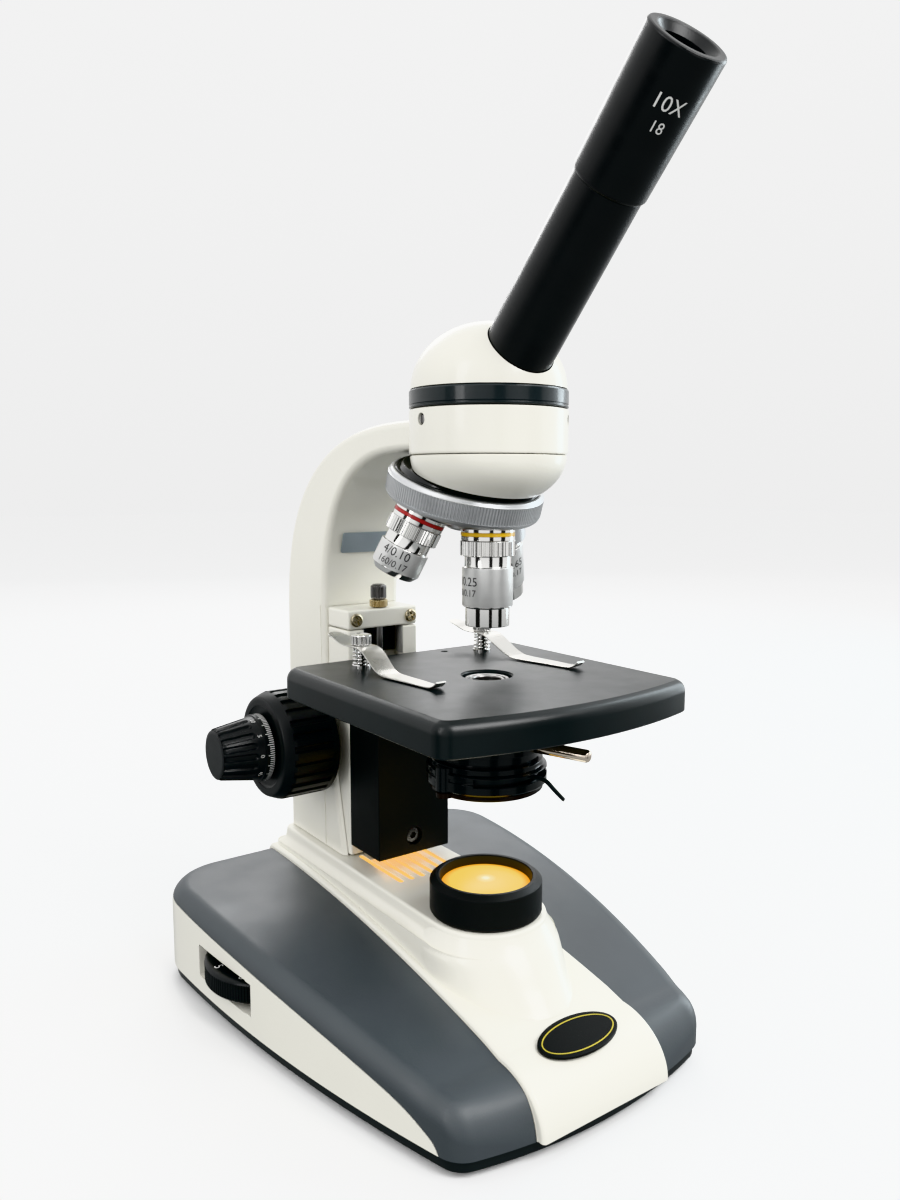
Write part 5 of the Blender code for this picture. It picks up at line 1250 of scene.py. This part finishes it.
def make_materials():
    return {
        "cream": finish("cream_enamel_gloss", (0.845, 0.83, 0.75), roughness=0.34, grain=0.000035,
                        scale=620, drift=0.012,
                        rough_drift=0.04, coat=0.55, coat_roughness=0.12),
        "slate": finish("slate_enamel_satin", (0.060, 0.070, 0.077), roughness=0.47, grain=0.00003,
                        scale=1500, drift=0.05,
                        rough_drift=0.04, coat=0.15, coat_roughness=0.3),
        "black_satin": finish("black_enamel_satin", (0.0095, 0.0125, 0.0130), roughness=0.33,
                              grain=0.000016, scale=1900,
                              drift=0.15, rough_drift=0.04),
        "black_gloss": finish("black_enamel_gloss", (0.005, 0.0065, 0.007), roughness=0.2, grain=0.00001,
                              scale=900,
                              drift=0.15, rough_drift=0.04, coat=0.3),
        # black enamel with a warm brown tint that paints the copper reflection of the lamp below
        "black_with_lamp_reflection": finish("black_enamel_painted_lamp_reflection", (0.012, 0.008, 0.006), 0.3, 0.22, grain=0.00001,
                               scale=900,
                               drift=0.2, rough_drift=0.04),
        "black_powder": finish("black_powder_coat", (0.006, 0.007, 0.007), roughness=0.5, specular=0.4,
                               grain=0.00005, scale=2400,
                               rough_drift=0.06, speckle=0.006),
        "band_black": finish("band_enamel", (0.010, 0.016, 0.018), roughness=0.34, grain=0.00001,
                             scale=900, drift=0.1,
                             rough_drift=0.04, coat=0.4, coat_roughness=0.1),
        "tube_black": finish("tube_anodised", (0.008, 0.009, 0.0095), roughness=0.33, specular=0.5,
                             grain=0.000012, scale=1500,
                             drift=0.15, rough_drift=0.05, stretch=(1, 1, 4)),
        "black_plastic": finish("black_moulding", (0.007, 0.0085, 0.009), roughness=0.36, specular=0.45,
                                grain=0.00003, scale=1300,
                                drift=0.15, rough_drift=0.05),
        "badge_black": finish("badge_gloss", (0.006, 0.007, 0.007), roughness=0.34, grain=0.00001,
                              scale=1500,
                              specular=0.3, speckle=0.01),
        "rubber": finish("rubber_black", (0.014, 0.014, 0.014), roughness=0.85, grain=0.00006, scale=1400,
                         drift=0.2),
        "steel": finish("steel_satin", (0.60, 0.59, 0.57), 1.0, 0.28, grain=0.00001, scale=700, drift=0.06,
                        rough_drift=0.06, stretch=(1, 1, 8)),
        "dark_steel": finish("steel_blackened", (0.27, 0.265, 0.26), 1.0, 0.3, grain=0.00001, scale=700,
                             drift=0.1,
                             rough_drift=0.06),
        "aluminium": finish("aluminium_turned", (0.66, 0.67, 0.68), 0.9, 0.36, grain=0.000012, scale=900,
                            drift=0.06,
                            rough_drift=0.06, stretch=(1, 1, 6)),
        "chrome": finish("chrome_plate", (0.80, 0.795, 0.78), 1.0, 0.09, grain=0.000003, scale=260,
                         drift=0.03,
                         rough_drift=0.03),
        "clip_steel": finish("spring_steel", (0.70, 0.69, 0.66), 1.0, 0.3, grain=0.00001, scale=500,
                             drift=0.04,
                             rough_drift=0.08),
        # chrome whose warm tint is a painted reflection of the lamp's yellow light
        "lamp_reflection_chrome": finish("chrome_painted_lamp_reflection", (0.84, 0.74, 0.63), 1.0, 0.12, grain=0.000003, scale=260,
                              drift=0.03,
                              rough_drift=0.03),
        "way_steel": finish("milled_steel", (0.50, 0.50, 0.48), 0.5, 0.45, grain=0.00002, scale=700,
                            drift=0.1,
                            rough_drift=0.06, stretch=(1, 1, 0.2)),
        "satin_barrel": finish("satin_chrome", (0.74, 0.74, 0.73), 0.72, 0.36, grain=0.000006, scale=1100,
                               drift=0.04,
                               rough_drift=0.04, stretch=(0.3, 0.3, 5)),
        "brass": finish("brass_turned", (0.62, 0.51, 0.31), 1.0, 0.27, grain=0.00001, scale=700,
                        drift=0.08,
                        rough_drift=0.06),
        "brass_plated": finish("brass_plate", (0.60, 0.54, 0.40), 1.0, 0.25, grain=0.00001, scale=500,
                               drift=0.1,
                               rough_drift=0.06),
        "label": finish("label_foil", (0.40, 0.46, 0.50), 0.55, 0.32, grain=0.00001, scale=900, drift=0.04,
                        rough_drift=0.05),
        "glass": finish("optical_glass", (0.75, 0.82, 0.80), roughness=0.03, transmission=0.9, coat=0.5,
                        drift=0.02),
        "ring_yellow": finish("yellow_paint", (0.80, 0.48, 0.02), roughness=0.32, drift=0.05, coat=0.3),
        "ring_red": finish("red_paint", (0.42, 0.022, 0.02), roughness=0.32, drift=0.05, coat=0.3),
        "ring_blue": finish("blue_paint", (0.03, 0.14, 0.42), roughness=0.32, drift=0.05, coat=0.3),
        "white_ink": finish("white_print", (0.80, 0.80, 0.78), roughness=0.5, drift=0.03),
        "black_ink": finish("black_print", (0.02, 0.02, 0.022), roughness=0.5, drift=0.1),
        "gold_ink": finish("gold_print", (0.50, 0.42, 0.05), roughness=0.35, drift=0.05),
        "board": finish("board_green", (0.02, 0.12, 0.05), roughness=0.5, grain=0.00003, scale=900,
                        drift=0.2),
        "vent_light": finish("vent_glow", (0.3, 0.12, 0.02), roughness=0.4, emission=(1.0, 0.58, 0.10),
                             strength=1.3,
                             drift=0.05),
        "lamp_lens": glowing("lamp_glow", (1.0, 0.70, 0.14), (1.0, 0.38, 0.02), (1.0, 0.97, 0.66), 1.05),
    }


CARRIED = {"led_lamp": "steel", "power_board": "board", "prism": "glass", "pinion_shaft": "steel",
           "fine_shaft": "black_satin",
           "focus_rack": "steel"}


def complete():
    """Turns each piece into its final mesh, gives it its material and ties it to its body."""
    for obj, material, body, slot, sharp, edge in PIECES.values():
        if edge:
            modifier = obj.modifiers.new("Edge", "BEVEL")
            modifier.limit_method = "ANGLE"
            modifier.angle_limit = radians(40)
            modifier.width = edge * MM
            modifier.segments = 2
    graph = bpy.context.evaluated_depsgraph_get()
    meshes = {name: bpy.data.meshes.new_from_object(row[0].evaluated_get(graph)) for name,
              row in PIECES.items()}
    for name, mesh in meshes.items():
        obj, material, body, slot, sharp, edge = PIECES[name]
        obj.modifiers.clear()
        obj.data = mesh
        bm = bmesh.new()
        bm.from_mesh(mesh)
        bmesh.ops.remove_doubles(bm, verts=bm.verts, dist=0.000004)
        bmesh.ops.dissolve_degenerate(bm, edges=bm.edges, dist=0.000004)
        bm.to_mesh(mesh)
        bm.free()
        mesh.shade_smooth()
        mesh.set_sharp_from_angle(angle=radians(sharp))
        mesh.materials.clear()
        mesh.materials.append(MATERIALS[material])
        if len(mesh.polygons) and sharp < 90 and body is None:
            smooth = obj.modifiers.new("Normals", "WEIGHTED_NORMAL")
            smooth.keep_sharp = True
        if body is None:
            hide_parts(name)
        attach(obj, body or BODY_OF[name])
    for tool in set(TOOLS):
        bpy.data.objects.remove(tool, do_unlink=True)
    for node, material in CARRIED.items():
        mesh = frame["nodes"][node].data
        mesh.materials.clear()
        mesh.materials.append(MATERIALS[material])


# ---------------------------------------------------------------- studio

def area_light(name, place, target, size, watts, colour=(1, 1, 1)):
    data = bpy.data.lights.new(name, "AREA")
    data.shape = "RECTANGLE"
    data.size, data.size_y = size
    data.energy = watts
    data.color = colour
    obj = bpy.data.objects.new(name, data)
    obj.location = place
    obj.rotation_euler = (Vector(target) - Vector(place)).to_track_quat("-Z", "Y").to_euler()
    bpy.context.scene.collection.objects.link(obj)
    return obj


def stage_piece(name, bm, material):
    mesh = bpy.data.meshes.new(name)
    bm.to_mesh(mesh)
    bm.free()
    obj = bpy.data.objects.new(name, mesh)
    mesh.materials.append(material)
    bpy.context.scene.collection.objects.link(obj)
    return obj


def make_studio():
    """A pale paper floor, a white sky, dark boards for the bright metal to reflect, and soft lights."""
    bm = bmesh.new()
    bmesh.ops.create_grid(bm, x_segments=24, y_segments=24, size=6.0)
    paper = finish("floor_paper", (0.90, 0.90, 0.90), roughness=0.9, specular=0.0, grain=0.00005,
                   scale=300, drift=0.005)
    floor = stage_piece("floor", bm, paper)
    floor.visible_diffuse = False
    floor.visible_glossy = False
    make_world()
    for k, (spin, half) in enumerate(((-178, 0.34), (-112, 0.22), (-60, 0.30))):
        make_card("dark_card_%d" % (k + 1), radians(spin), half)
    area_light("key_light", (0.3, -1.15, 1.25), (0, 0, 0.15), (0.8, 0.8), 17)
    area_light("left_light", (-1.15, -0.25, 0.75), (0, 0, 0.15), (0.3, 1.0), 4)
    area_light("right_light", (1.2, -0.12, 0.55), (0, 0, 0.2), (0.4, 1.2), 8, (0.84, 0.95, 1.0))
    area_light("vent_spill", (AXIS_X * MM, 0.042, 0.0605), (AXIS_X * MM, 0.040, 0.056), (0.026, 0.02),
               0.0025, (1.0, 0.5, 0.12))
    area_light("back_light", (0.6, 1.2, 1.0), (0, 0, 0.2), (0.9, 0.5), 8)


def make_world():
    """A white sky that greys a little to its horizon, over a darker ground that only reflections see."""
    world = bpy.data.worlds.new("studio")
    world.use_nodes = True
    nodes, links = world.node_tree.nodes, world.node_tree.links
    direction = nodes.new("ShaderNodeTexCoord").outputs["Generated"]
    parts = nodes.new("ShaderNodeSeparateXYZ")
    links.new(direction, parts.inputs[0])
    share = nodes.new("ShaderNodeMapRange")
    share.inputs["From Min"].default_value = -1.0
    links.new(parts.outputs["Z"], share.inputs["Value"])
    ramp = nodes.new("ShaderNodeValToRGB")
    stops = ramp.color_ramp.elements
    stops[0].position, stops[0].color = 0.38, (0.40, 0.41, 0.41, 1)
    stops[1].position, stops[1].color = 0.72, (1, 1, 1, 1)
    for where, value in ((0.465, 0.88), (0.5, 0.89)):
        stop = stops.new(where)
        stop.color = (value, value, value, 1)
    links.new(share.outputs["Result"], ramp.inputs["Fac"])
    links.new(ramp.outputs["Color"], nodes["Background"].inputs["Color"])
    nodes["Background"].inputs["Strength"].default_value = 1.1
    bpy.context.scene.world = world


CARD_AWAY = 1.6


def make_card(name, direction, half):
    """A tall dark board outside the picture, there to draw dark streaks in the bright metal."""
    bm = bmesh.new()
    for x, z in ((-half, -0.6), (half, -0.6), (half, 1.3), (-half, 1.3)):
        bm.verts.new((x, 0, z))
    bm.faces.new(bm.verts)
    card = stage_piece(name, bm, finish(name, (0.02, 0.02, 0.02), roughness=0.9, drift=0.1))
    card.matrix_world = (Matrix.Translation((CARD_AWAY * cos(direction), CARD_AWAY * sin(direction), 0))
                         @ Matrix.Rotation(direction + pi / 2, 4, "Z"))
    card.visible_camera = card.visible_diffuse = card.visible_shadow = card.visible_transmission = False


def make_camera():
    """The camera stands low on the left of the front, close to the object, and looks slightly down."""
    data = bpy.data.cameras.new("camera")
    data.lens, data.sensor_width, data.sensor_fit = 28.49, 36.0, "AUTO"
    data.clip_start = 0.01
    camera = bpy.data.objects.new("camera", data)
    yaw, pitch, roll = -35.762, 7.243, 0.046
    turn = Matrix.Rotation(radians(yaw), 4, "Z") @ Matrix.Rotation(radians(90 - pitch), 4, "X")
    camera.matrix_world = Matrix.Translation((-0.22769, -0.31081,
                                              0.23044)) @ turn @ Matrix.Rotation(radians(roll), 4, "Z")
    bpy.context.scene.collection.objects.link(camera)
    bpy.context.scene.camera = camera


MATERIALS = make_materials()
make_casting()
make_panel("left_side_panel", -1)
make_panel("right_side_panel", 1)
make_plate_and_feet()
make_badge()
make_lamp()
make_dimmer()
make_inlet()
make_arm()
make_arm_fittings()
make_guide()
make_drive()
make_carrier()
make_stage()
make_clips()
make_condenser()
make_head()
make_mount()
make_turret()
make_objectives()
make_dial_figures()
complete()
make_studio()
make_camera()
bpy.context.scene.view_settings.view_transform = "Khronos PBR Neutral"
